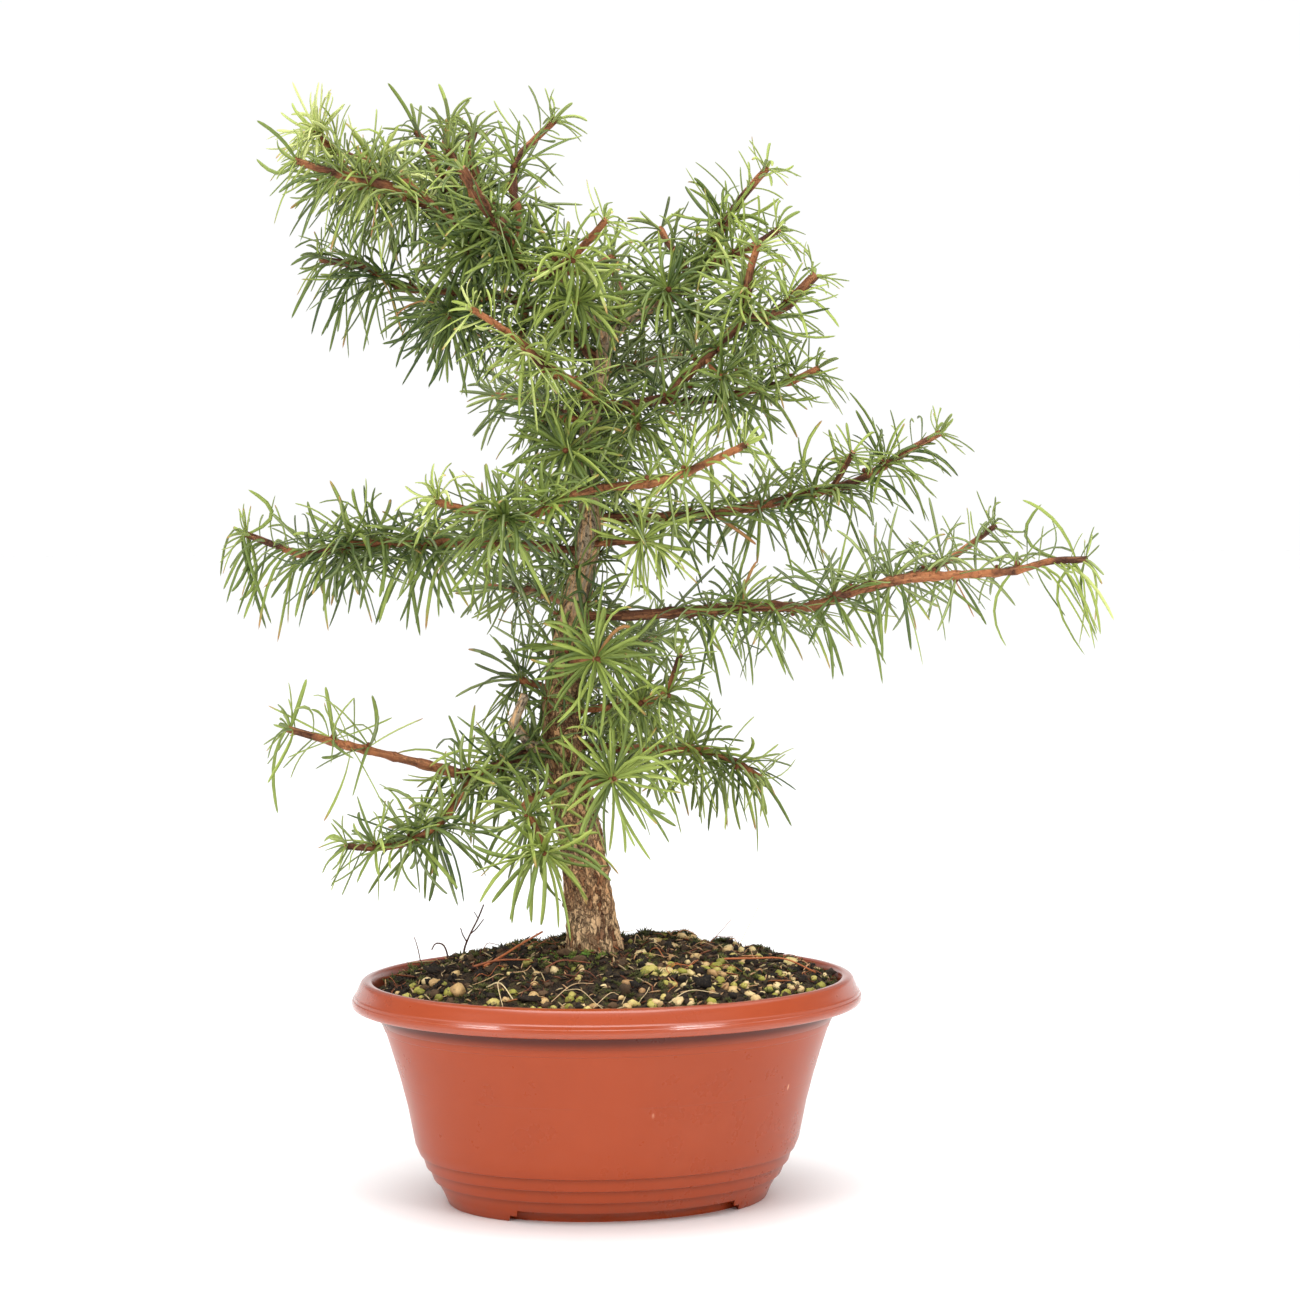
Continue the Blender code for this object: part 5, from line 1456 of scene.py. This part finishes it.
def groundHeight(x, y):
    across = soilShape["halfLength"] - soilShape["edgeInset"]
    deep = soilShape["halfWidth"] - soilShape["edgeInset"]
    outward = min(1.0, math.hypot(x / across, y / deep))
    rise = soilShape["crownHeight"] - soilShape["edgeHeight"]
    mound = soilShape["edgeHeight"] + rise * (1 - outward ** 3)
    dip = soilShape["leftDip"] * outward * max(0.0, -x / soilShape["halfLength"])
    coarse = noise.noise(Vector((x * soilShape["coarse"], y * soilShape["coarse"], 3.0)))
    fine = noise.noise(Vector((x * soilShape["fine"], y * soilShape["fine"], 9.0)))
    height = mound - dip + soilShape["relief"] * (coarse + 0.8 * fine) * (1 - 0.5 * outward ** 6)
    for hx, hy, rise, reach in soilHumps:
        there = treeTurn @ Vector((hx, hy, 0))
        height += rise * math.exp(-((x - there.x) ** 2 + (y - there.y) ** 2) / reach ** 2)
    coarser, *finer = (tall * grainAt(x, y, size, seed) for tall, size, seed in soilShape["crumbs"])
    crumbs = abs(coarser) + finer[0] + finer[1]
    return height + crumbs * (1 - 0.4 * outward ** 8)


peatLook = {
    "dark": (0.006, 0.004, 0.003), "brown": (0.075, 0.046, 0.025), "fleck": (0.230, 0.145, 0.072),
    "mossDark": (0.026, 0.030, 0.008), "mossPale": (0.170, 0.175, 0.040), "relief": 0.0022,
}


def peatFinish():
    s = Shader("peat")
    where = s.place()
    clumps = s.noise(where, 260.0, 6.0, 0.72)
    fine = s.noise(where, 1300.0, 4.0, 0.7)
    patch = s.noise(where, 45.0, 4.0, 0.65)
    # the darkest peat lies where the clump noise is low, where the bump also sinks: the peat's own dark and
    # brown crumbs, with painted shade in the pits and painted light on the raised tops
    colour = s.blend(clumps.rising(0.40, 0.62), peatLook["dark"], peatLook["brown"])
    colour = s.blend(fine.rising(0.56, 0.70) * 0.7, colour, peatLook["fleck"])
    moss = patch.rising(0.50, 0.60) * clumps.rising(0.46, 0.60)
    mossTint = s.blend(fine.rising(0.4, 0.6), peatLook["mossDark"], peatLook["mossPale"])
    colour = s.blend(moss * 0.75, colour, mossTint)
    rough = 0.93 - 0.12 * clumps
    relief = s.bumped(clumps + fine * 0.6, peatLook["relief"], 1.0)
    return s.finished(colour, rough, relief, Specular_IOR_Level=0.25)


def makeSoil():
    halfLength = soilShape["halfLength"] - soilShape["edgeInset"]
    halfWidth = soilShape["halfWidth"] - soilShape["edgeInset"]
    letGo()
    bpy.ops.mesh.primitive_circle_add(
        vertices=soilShape["sides"], radius=mm, fill_type="NGON", location=(0, 0, soilShape["bottom"] * mm),
    )
    soil = bpy.context.object
    narrow, shallow = halfLength - soilShape["taper"], halfWidth - soilShape["taper"]
    soil.scale = (narrow, shallow, 1)
    settle(soil)
    bpy.ops.object.mode_set(mode="EDIT")
    bpy.ops.mesh.select_all(action="SELECT")
    rise = soilShape["edgeHeight"] - soilShape["bottom"]
    nextRing(rise, halfLength / narrow, halfWidth / shallow)
    for ring in range(1, soilShape["rings"]):
        share = (soilShape["rings"] - ring) / (soilShape["rings"] - ring + 1)
        nextRing(0, share, share)
    bpy.ops.mesh.merge(type="CENTER")
    facedOut()
    for vert in soil.data.vertices:  # the mound and its crumbs, moved as with a sculpting brush
        x, y, z = vert.co / mm
        if z > soilShape["edgeHeight"] - 1:
            vert.co.z = groundHeight(x, y) * mm
    soil.data.shade_smooth()
    return hand(soil, "soil_bed", peatFinish(), "soil", "soil")


class Heap:  # copies of small shapes gathered into one piece
    def __init__(self):
        self.points, self.faces, self.tints = [], [], []

    def add(self, shape, turn, size, place, tint, lump=0.0, seed=0.0):
        self.faces += shifted(shape[1], len(self.points))
        for p in shape[0]:
            spot = Vector(p)
            if lump:
                spot *= 1 + lump * noise.noise(spot * 1.3 + Vector((seed, 0, 0)))
            spot = turn @ Vector((spot.x * size[0], spot.y * size[1], spot.z * size[2]))
            self.points.append(((place[0] + spot.x) * mm, (place[1] + spot.y) * mm, (place[2] + spot.z) * mm))
            self.tints.append(tint)

    def piece(self, name, finish):
        made = fromPoints(name, self.points, self.faces, tint=self.tints)
        return hand(made, name, finish, "soil")


def shapeOf(made):
    shape = [tuple(v.co) for v in made.data.vertices], [tuple(p.vertices) for p in made.data.polygons]
    bpy.data.objects.remove(made)
    return shape


def stoneShape():
    letGo()
    bpy.ops.mesh.primitive_ico_sphere_add(subdivisions=2, radius=1.0)
    return shapeOf(bpy.context.object)


def mossShape():
    points, faces = [], []  # a tuft of nine small pointed leaves
    draw = random.Random(3)
    for k in range(9):
        turn = k * goldenAngle
        lean = math.radians(12 + 62 * math.sqrt((k + 0.3) / 9))
        way = Vector((math.cos(turn) * math.sin(lean), math.sin(turn) * math.sin(lean), math.cos(lean)))
        side, other = acrossOf(way)
        tall = draw.uniform(0.7, 1.15)
        base = len(points)
        for i in range(3):
            a = 2 * math.pi * i / 3
            points.append(tuple(0.13 * tall * (side * math.cos(a) + other * math.sin(a)) + way * 0.35 * tall))
        points.append((0.0, 0.0, -0.2))
        points.append(tuple(way * tall))
        faces += [(base + i, base + (i + 1) % 3, base + 4) for i in range(3)]
        faces += [(base + (i + 1) % 3, base + i, base + 3) for i in range(3)]
    return points, faces


def strandShape(bends=4):
    points, faces = [], []  # a dead needle or straw, three-sided, slightly bowed, one unit long
    for k in range(bends + 1):
        t = k / bends
        width = 0.5 * (1 - 0.75 * abs(2 * t - 1) ** 3)
        lift = math.sin(math.pi * t) * 0.10
        for i in range(3):
            a = 2 * math.pi * i / 3 + 0.5
            points.append((t - 0.5, math.cos(a) * width, lift + 0.6 * math.sin(a) * width))
    for k in range(bends):
        for i in range(3):
            j = (i + 1) % 3
            faces.append((3 * k + j, 3 * k + i, 3 * k + 3 + i, 3 * k + 3 + j))
    faces.append((0, 1, 2))
    faces.append((3 * bends + 2, 3 * bends + 1, 3 * bends))
    return points, faces


def tintedFinish(name, stops, rough, grainSize, relief, flecks, fleckColour):
    s = Shader(name)
    where = s.place()
    tint = s.reading("tint")
    grainy = s.noise(where, grainSize, 5.0, 0.65)
    colour = s.ramp((tint + (grainy - 0.5) * 0.30).clamped(), stops)
    spots = s.noise(where, grainSize * 2.3, 3.0, 0.6).rising(0.55, 0.72) * flecks
    colour = s.blend(spots, colour, fleckColour)
    return s.finished(colour, rough + 0.1 * grainy, s.bumped(grainy, relief, 0.7), Specular_IOR_Level=0.35)


groundCover = {
    "stones": 1000, "clods": 900, "moss": 1300, "deadNeedles": 20, "fibres": 1500, "threads": 46,
    "seed": 77, "threadSeed": 5,
    "stoneSize": (1.3, 2.9), "stoneShape": ((0.9, 1.35), (0.8, 1.1), (0.65, 0.95)),
    "clodSize": (0.8, 2.0), "clodShape": ((0.8, 1.7), (0.6, 1.2), (0.5, 1.0)),
    "mossSize": (1.6, 3.6), "tallMossFrom": 20, "backFrom": 30, "humpMoss": 420,
    "greenSpot": (-22, -16, 9.0, 150),  # across, away, spread, tufts
    "brightSpot": (-5, -22, 30),  # the brightest moss: x, y and reach on the soil
    "needleLong": (8, 20), "needleWide": (0.45, 0.85), "fibreLong": (2.5, 7.0), "fibreWide": (0.45, 1.0),
    "fibreTints": (0.0, 0.0, 0.05, 0.15, 0.28, 0.92, 1.0),
    # how near the rim each kind may lie, as a share of the way out
    "stoneEdge": 0.975, "mossEdge": 0.985, "needleEdge": 0.93, "fibreEdge": 0.97, "threadEdge": 0.9,
    # where the pebbles gather: across, away, reach both ways, share
    "pebbleBeds": [
        (62, -42, 50, 34, 0.85), (-8, -84, 60, 13, 0.8), (-97, -48, 12, 12, 1.0), (40, 20, 40, 22, 0.25),
    ],
    "baseShare": 0.07,
}

# Look of what lies on the soil: shader, tints, roughness, grain, relief, flecks and their colour
coverLook = {
    "soil_pebbles": (
        "pebbles",
        [(0.0, (0.30, 0.15, 0.06)), (0.18, (0.60, 0.40, 0.17)), (0.42, (0.74, 0.57, 0.29)),
         (0.58, (0.58, 0.46, 0.15)), (0.80, (0.36, 0.33, 0.055)), (1.0, (0.20, 0.19, 0.03))],
        0.50, 250.0, 0.0016, 0.95, (0.085, 0.055, 0.020),
    ),
    "soil_clods": (
        "peatClods",
        [(0.0, (0.006, 0.004, 0.003)), (0.6, (0.026, 0.016, 0.010)), (1.0, (0.120, 0.068, 0.034))],
        0.85, 700.0, 0.0012, 0.5, (0.130, 0.095, 0.045),
    ),
    "soil_moss": (
        "moss",
        [(0.0, (0.022, 0.024, 0.007)), (0.35, (0.095, 0.100, 0.022)), (0.7, (0.190, 0.230, 0.040)),
         (1.0, (0.200, 0.420, 0.060))],
        0.75, 800.0, 0.0004, 0.25, (0.25, 0.26, 0.10),
    ),
    "soil_litter": (
        "deadNeedles",
        [(0.0, (0.030, 0.014, 0.009)), (0.5, (0.280, 0.085, 0.030)), (0.85, (0.480, 0.200, 0.075)),
         (1.0, (0.560, 0.420, 0.220))],
        0.6, 1200.0, 0.0002, 0.2, (0.08, 0.04, 0.02),
    ),
    "soil_straws": (
        "straws",
        [(0.0, (0.045, 0.022, 0.014)), (0.3, (0.160, 0.050, 0.024)), (0.65, (0.480, 0.140, 0.045)),
         (1.0, (0.680, 0.540, 0.300))],
        0.55, 900.0, 0.0002, 0.2, (0.10, 0.05, 0.03),
    ),
}


def onGround(draw, edge):
    across = soilShape["halfLength"] - soilShape["edgeInset"]
    deep = soilShape["halfWidth"] - soilShape["edgeInset"]
    trunk = treeTurn @ Vector((-7, 0, 0))
    while True:
        turn, reach = draw.uniform(0, 6.2832), edge * math.sqrt(draw.random())
        x, y = across * reach * math.cos(turn), deep * reach * math.sin(turn)
        if math.hypot(x - trunk.x, y - trunk.y) > soilShape["trunkClear"]:
            return x, y


def anyTurn(draw, tilt=6.3, axis="X"):
    spin = Matrix.Rotation(draw.uniform(0, 6.3), 3, "Z")
    return spin @ Matrix.Rotation(draw.uniform(-tilt, tilt), 3, axis)


def shapedSizes(draw, size, ranges):
    return tuple(size * draw.uniform(*reach) for reach in ranges)


def scatterStones(draw, stones, clods):
    stone = stoneShape()
    for k in range(groundCover["stones"]):
        x, y = onGround(draw, groundCover["stoneEdge"])
        seen = treeTurn.inverted() @ Vector((x, y, 0))
        share = groundCover["baseShare"]
        for across, away, wide, deep, most in groundCover["pebbleBeds"]:
            share += most * math.exp(-((seen.x - across) / wide) ** 2 - ((seen.y - away) / deep) ** 2)
        if draw.random() > share:
            continue
        size = draw.uniform(*groundCover["stoneSize"]) * (1.35 if draw.random() < 0.15 else 1.0)
        sizes = shapedSizes(draw, size, groundCover["stoneShape"])
        place = (x, y, groundHeight(x, y) + 0.15 * size)
        stones.add(stone, anyTurn(draw, 0.9), sizes, place, draw.random(), 0.42, k * 3.7)
    for k in range(groundCover["clods"]):
        x, y = onGround(draw, groundCover["stoneEdge"])
        size = draw.uniform(*groundCover["clodSize"]) * (1.6 if draw.random() < 0.10 else 1.0)
        sizes = shapedSizes(draw, size, groundCover["clodShape"])
        place = (x, y, groundHeight(x, y) + 0.3 * size)
        clods.add(stone, anyTurn(draw), sizes, place, draw.random(), 0.95, k * 2.3)


def scatterMoss(draw, moss):
    tuft = mossShape()
    for _ in range(groundCover["moss"]):
        x, y = onGround(draw, groundCover["mossEdge"])
        if noise.noise(Vector((x * 0.045, y * 0.045, 2.0))) < 0.0 and draw.random() < 0.8:
            continue
        brightX, brightY, reach = groundCover["brightSpot"]
        nearness = max(0.0, 1 - math.hypot(x - brightX, y - brightY) / reach)
        bright = nearness * 0.55 + 0.30 * draw.random() + 0.1
        size = draw.uniform(*groundCover["mossSize"]) * (1.35 if y > groundCover["tallMossFrom"] else 1.0)
        tall = (size, size, size * draw.uniform(0.8, 1.3))
        moss.add(tuft, anyTurn(draw, 0.5), tall, (x, y, groundHeight(x, y) + 0.2), min(bright, 1.0))
    greenX, greenY, spread, count = groundCover["greenSpot"]
    spots = [(draw.gauss(greenX, spread), draw.gauss(greenY, spread * 0.7), 1.4, 0.85) for _ in range(count)]
    backHumps = [hump for hump in soilHumps if hump[1] > groundCover["backFrom"]]
    for k in range(groundCover["humpMoss"]):
        across, away, _, reach = backHumps[k % len(backHumps)]
        spots.append((draw.gauss(across, 0.6 * reach), draw.gauss(away, 0.6 * reach), 2.2, 0.15))
    for across, away, size, bright in spots:
        there = treeTurn @ Vector((across, away, 0))
        size *= draw.uniform(0.8, 1.6)
        place = (there.x, there.y, groundHeight(there.x, there.y) + 0.3)
        moss.add(tuft, anyTurn(draw, 0.6), (size, size, size), place, bright + draw.uniform(-0.15, 0.15))


def scatterLitter(draw, litter):
    strand = strandShape()
    for _ in range(groundCover["deadNeedles"]):
        x, y = onGround(draw, groundCover["needleEdge"])
        long, wide = draw.uniform(*groundCover["needleLong"]), draw.uniform(*groundCover["needleWide"])
        turn = anyTurn(draw, 0.30, "Y")
        place = (x, y, groundHeight(x, y) + draw.uniform(1.2, 3.2))
        litter.add(strand, turn, (long, wide, wide + 1.5), place, draw.random())
    for _ in range(groundCover["fibres"]):  # bits of peat fibre and chaff, pointing all ways
        x, y = onGround(draw, groundCover["fibreEdge"])
        long, wide = draw.uniform(*groundCover["fibreLong"]), draw.uniform(*groundCover["fibreWide"])
        turn = anyTurn(draw, 0.8, "Y")
        tint = draw.choice(groundCover["fibreTints"])
        place = (x, y, groundHeight(x, y) + 0.9)
        litter.add(strand, turn, (long, wide, wide + 0.8), place, tint)


def makeCover():
    draw = random.Random(groundCover["seed"])
    heaps = {name: Heap() for name in ("soil_pebbles", "soil_clods", "soil_moss", "soil_litter")}
    scatterStones(draw, heaps["soil_pebbles"], heaps["soil_clods"])
    scatterMoss(draw, heaps["soil_moss"])
    scatterLitter(draw, heaps["soil_litter"])
    for name, heap in heaps.items():
        heap.piece(name, tintedFinish(*coverLook[name]))


# Straws, threads and dead twigs laid one by one: points across, away and height over the soil, radius, tint
laidStrands = [
    ([(-61, -34, 2), (-52, -24, 5), (-43, -14, 8), (-33, -4, 12)], 0.75, 0.62),
    ([(-66, -30, 2), (-54, -32, 4), (-38, -34, 3)], 0.65, 0.45),
    ([(-58, -62, 2), (-51, -70, 5), (-44, -82, 2)], 0.40, 1.0),
    ([(-50, -60, 3), (-52, -74, 7), (-49, -86, 2)], 0.28, 0.95),
    ([(57, -22, 3), (72, -20, 4), (88, -14, 5), (104, -8, 4)], 0.55, 0.60),
    ([(-20, -76, 2), (-12, -84, 6), (-4, -92, 4), (4, -98, 2), (12, -101, 1)], 0.20, 0.95),
    ([(-26, -84, 2), (-16, -78, 6), (-6, -74, 3)], 0.22, 0.9),
    ([(6, -82, 2), (2, -88, 6), (-6, -93, 3)], 0.22, 0.92),
    ([(30, -84, 2), (40, -78, 5), (54, -72, 3)], 0.24, 1.0),
    ([(66, 30, 2), (72, 34, 14), (79, 36, 27)], 0.14, 1.0),
    ([(52, 40, 3), (58, 40, 8), (63, 38, 13)], 0.18, 0.5),
    ([(-30, -50, 2), (-22, -44, 5), (-8, -46, 3)], 0.45, 0.35),
]
deadTwigs = [
    ([(-97, 46, -2), (-98, 46, 6), (-99.5, 45, 14), (-101, 44, 19)], 0.35, 0.2),
    ([(-85, 47, -2), (-84, 47, 5), (-86, 46, 10), (-90, 45, 12), (-92, 44, 10)], 0.55, 0.15),
    ([(-76, 47, -2), (-75, 46, 6), (-72, 45, 13), (-68, 45, 20), (-65, 44, 27)], 0.6, 0.1),
    ([(-72, 45, 13), (-69, 44, 15), (-65, 43, 19)], 0.4, 0.1),
    ([(-74, 45.5, 9), (-76, 45, 13), (-77, 44, 17)], 0.4, 0.1),
    ([(-68, 45, 20), (-70, 44, 24)], 0.3, 0.1),
]


def makeStrands():
    draw = random.Random(groundCover["threadSeed"])
    points, faces, tints, extra = [], [], [], []
    for _ in range(groundCover["threads"]):  # hair-thin root threads curling over the soil
        x, y = onGround(draw, groundCover["threadEdge"])
        turn, run = draw.uniform(0, 6.3), [(x, y, 1.5)]
        for _ in range(4):
            turn += draw.uniform(-0.9, 0.9)
            x, y = x + 4.2 * math.cos(turn), y + 4.2 * math.sin(turn)
            run.append((x, y, draw.uniform(1.5, 5.0)))
        extra.append((run, draw.uniform(0.14, 0.28), draw.uniform(0.3, 1.0)))
    for run, radius, tint in laidStrands + deadTwigs + extra:
        spots = []
        for x, y, up in run:
            there = treeTurn @ Vector((x, y, 0))
            spots.append((there.x, there.y, groundHeight(there.x, there.y) + up))
        route = Route(spots)
        step = max(1.5, route.length / 14)
        part = tubeParts(route, 0.0, route.length, radius, radius * 0.7, [], 1.0, 5, step)
        faces += shifted(part[1], len(points))
        points += [tuple(Vector(p) * mm) for p in part[0]]
        tints += [tint] * len(part[0])
    made = fromPoints("soil_straws", points, faces, tint=tints)
    hand(made, "soil_straws", tintedFinish(*coverLook["soil_straws"]), "soil")


# Floor, lights and camera

stageLook = {
    "floor": (0.945, 0.945, 0.945), "floorPale": (0.965, 0.965, 0.96), "floorSize": 30.0,
    # brightness by height, dim at mid height
    "sky": [(0.0, 0.505), (0.18, 0.505), (0.28, 0.17), (0.66, 0.17), (0.80, 1.0), (1.0, 1.0)],
    "skyStrength": 2.0,
    "lamps": [  # place, aim, width, height, power
        ((-0.98, -0.96, 0.62), (0.0, 0.0, 0.20), 0.46, 0.14, 5.5),
        ((0.90, -1.00, 0.62), (0.0, 0.0, 0.20), 0.46, 0.14, 5.5),
        ((0.0, -0.55, 1.90), (0.0, -0.2, 0.0), 1.6, 1.6, 25.0),
    ],
    "camera": (-0.3017, -1.5205, 0.358), "pitch": 87.0, "turn": -12.0, "lens": 85.8,
}


def makeSky():
    world = bpy.data.worlds.new("studio")
    bpy.context.scene.world = world
    world.use_nodes = True
    tree = world.node_tree
    place = tree.nodes.new("ShaderNodeTexCoord")
    height = tree.nodes.new("ShaderNodeSeparateXYZ")
    ramp = tree.nodes.new("ShaderNodeValToRGB")
    setStops(ramp.color_ramp, [(up, (light, light, light)) for up, light in stageLook["sky"]])
    tree.links.new(place.outputs["Generated"], height.inputs[0])
    tree.links.new(height.outputs["Z"], ramp.inputs[0])
    tree.links.new(ramp.outputs["Color"], tree.nodes["Background"].inputs["Color"])
    tree.nodes["Background"].inputs["Strength"].default_value = stageLook["skyStrength"]


def makeStage():
    letGo()
    bpy.ops.mesh.primitive_plane_add(size=stageLook["floorSize"])
    floor = bpy.context.object
    floor.name = "floor"
    s = Shader("paleFloor")
    cloud = s.noise(s.place(), 1.2, 3.0)
    colour = s.blend(cloud, stageLook["floor"], stageLook["floorPale"])
    s.finished(colour, 0.55 + 0.1 * cloud)
    floor.data.materials.append(s.material)
    makeSky()
    for place, aim, wide, high, power in stageLook["lamps"]:
        place, aim = treeTurn @ Vector(place), treeTurn @ Vector(aim)
        bpy.ops.object.light_add(type="AREA", location=place)
        lamp = bpy.context.object
        lamp.data.shape = "RECTANGLE"
        lamp.data.size, lamp.data.size_y = wide, high
        lamp.data.energy = power
        lamp.rotation_euler = (aim - place).to_track_quat("-Z", "Y").to_euler()
    turn = (math.radians(stageLook["pitch"]), 0, math.radians(stageLook["turn"]))
    bpy.ops.object.camera_add(location=stageLook["camera"], rotation=turn)
    camera = bpy.context.object
    camera.data.lens = stageLook["lens"]
    camera.data.sensor_width = 36.0
    bpy.context.scene.camera = camera
    bpy.context.scene.view_settings.view_transform = "Standard"


makePot()
print("pot done")
makeTree()
print("tree done")
makeSoil()
makeCover()
makeStrands()
print("soil done")
makeStage()
print("stage done")
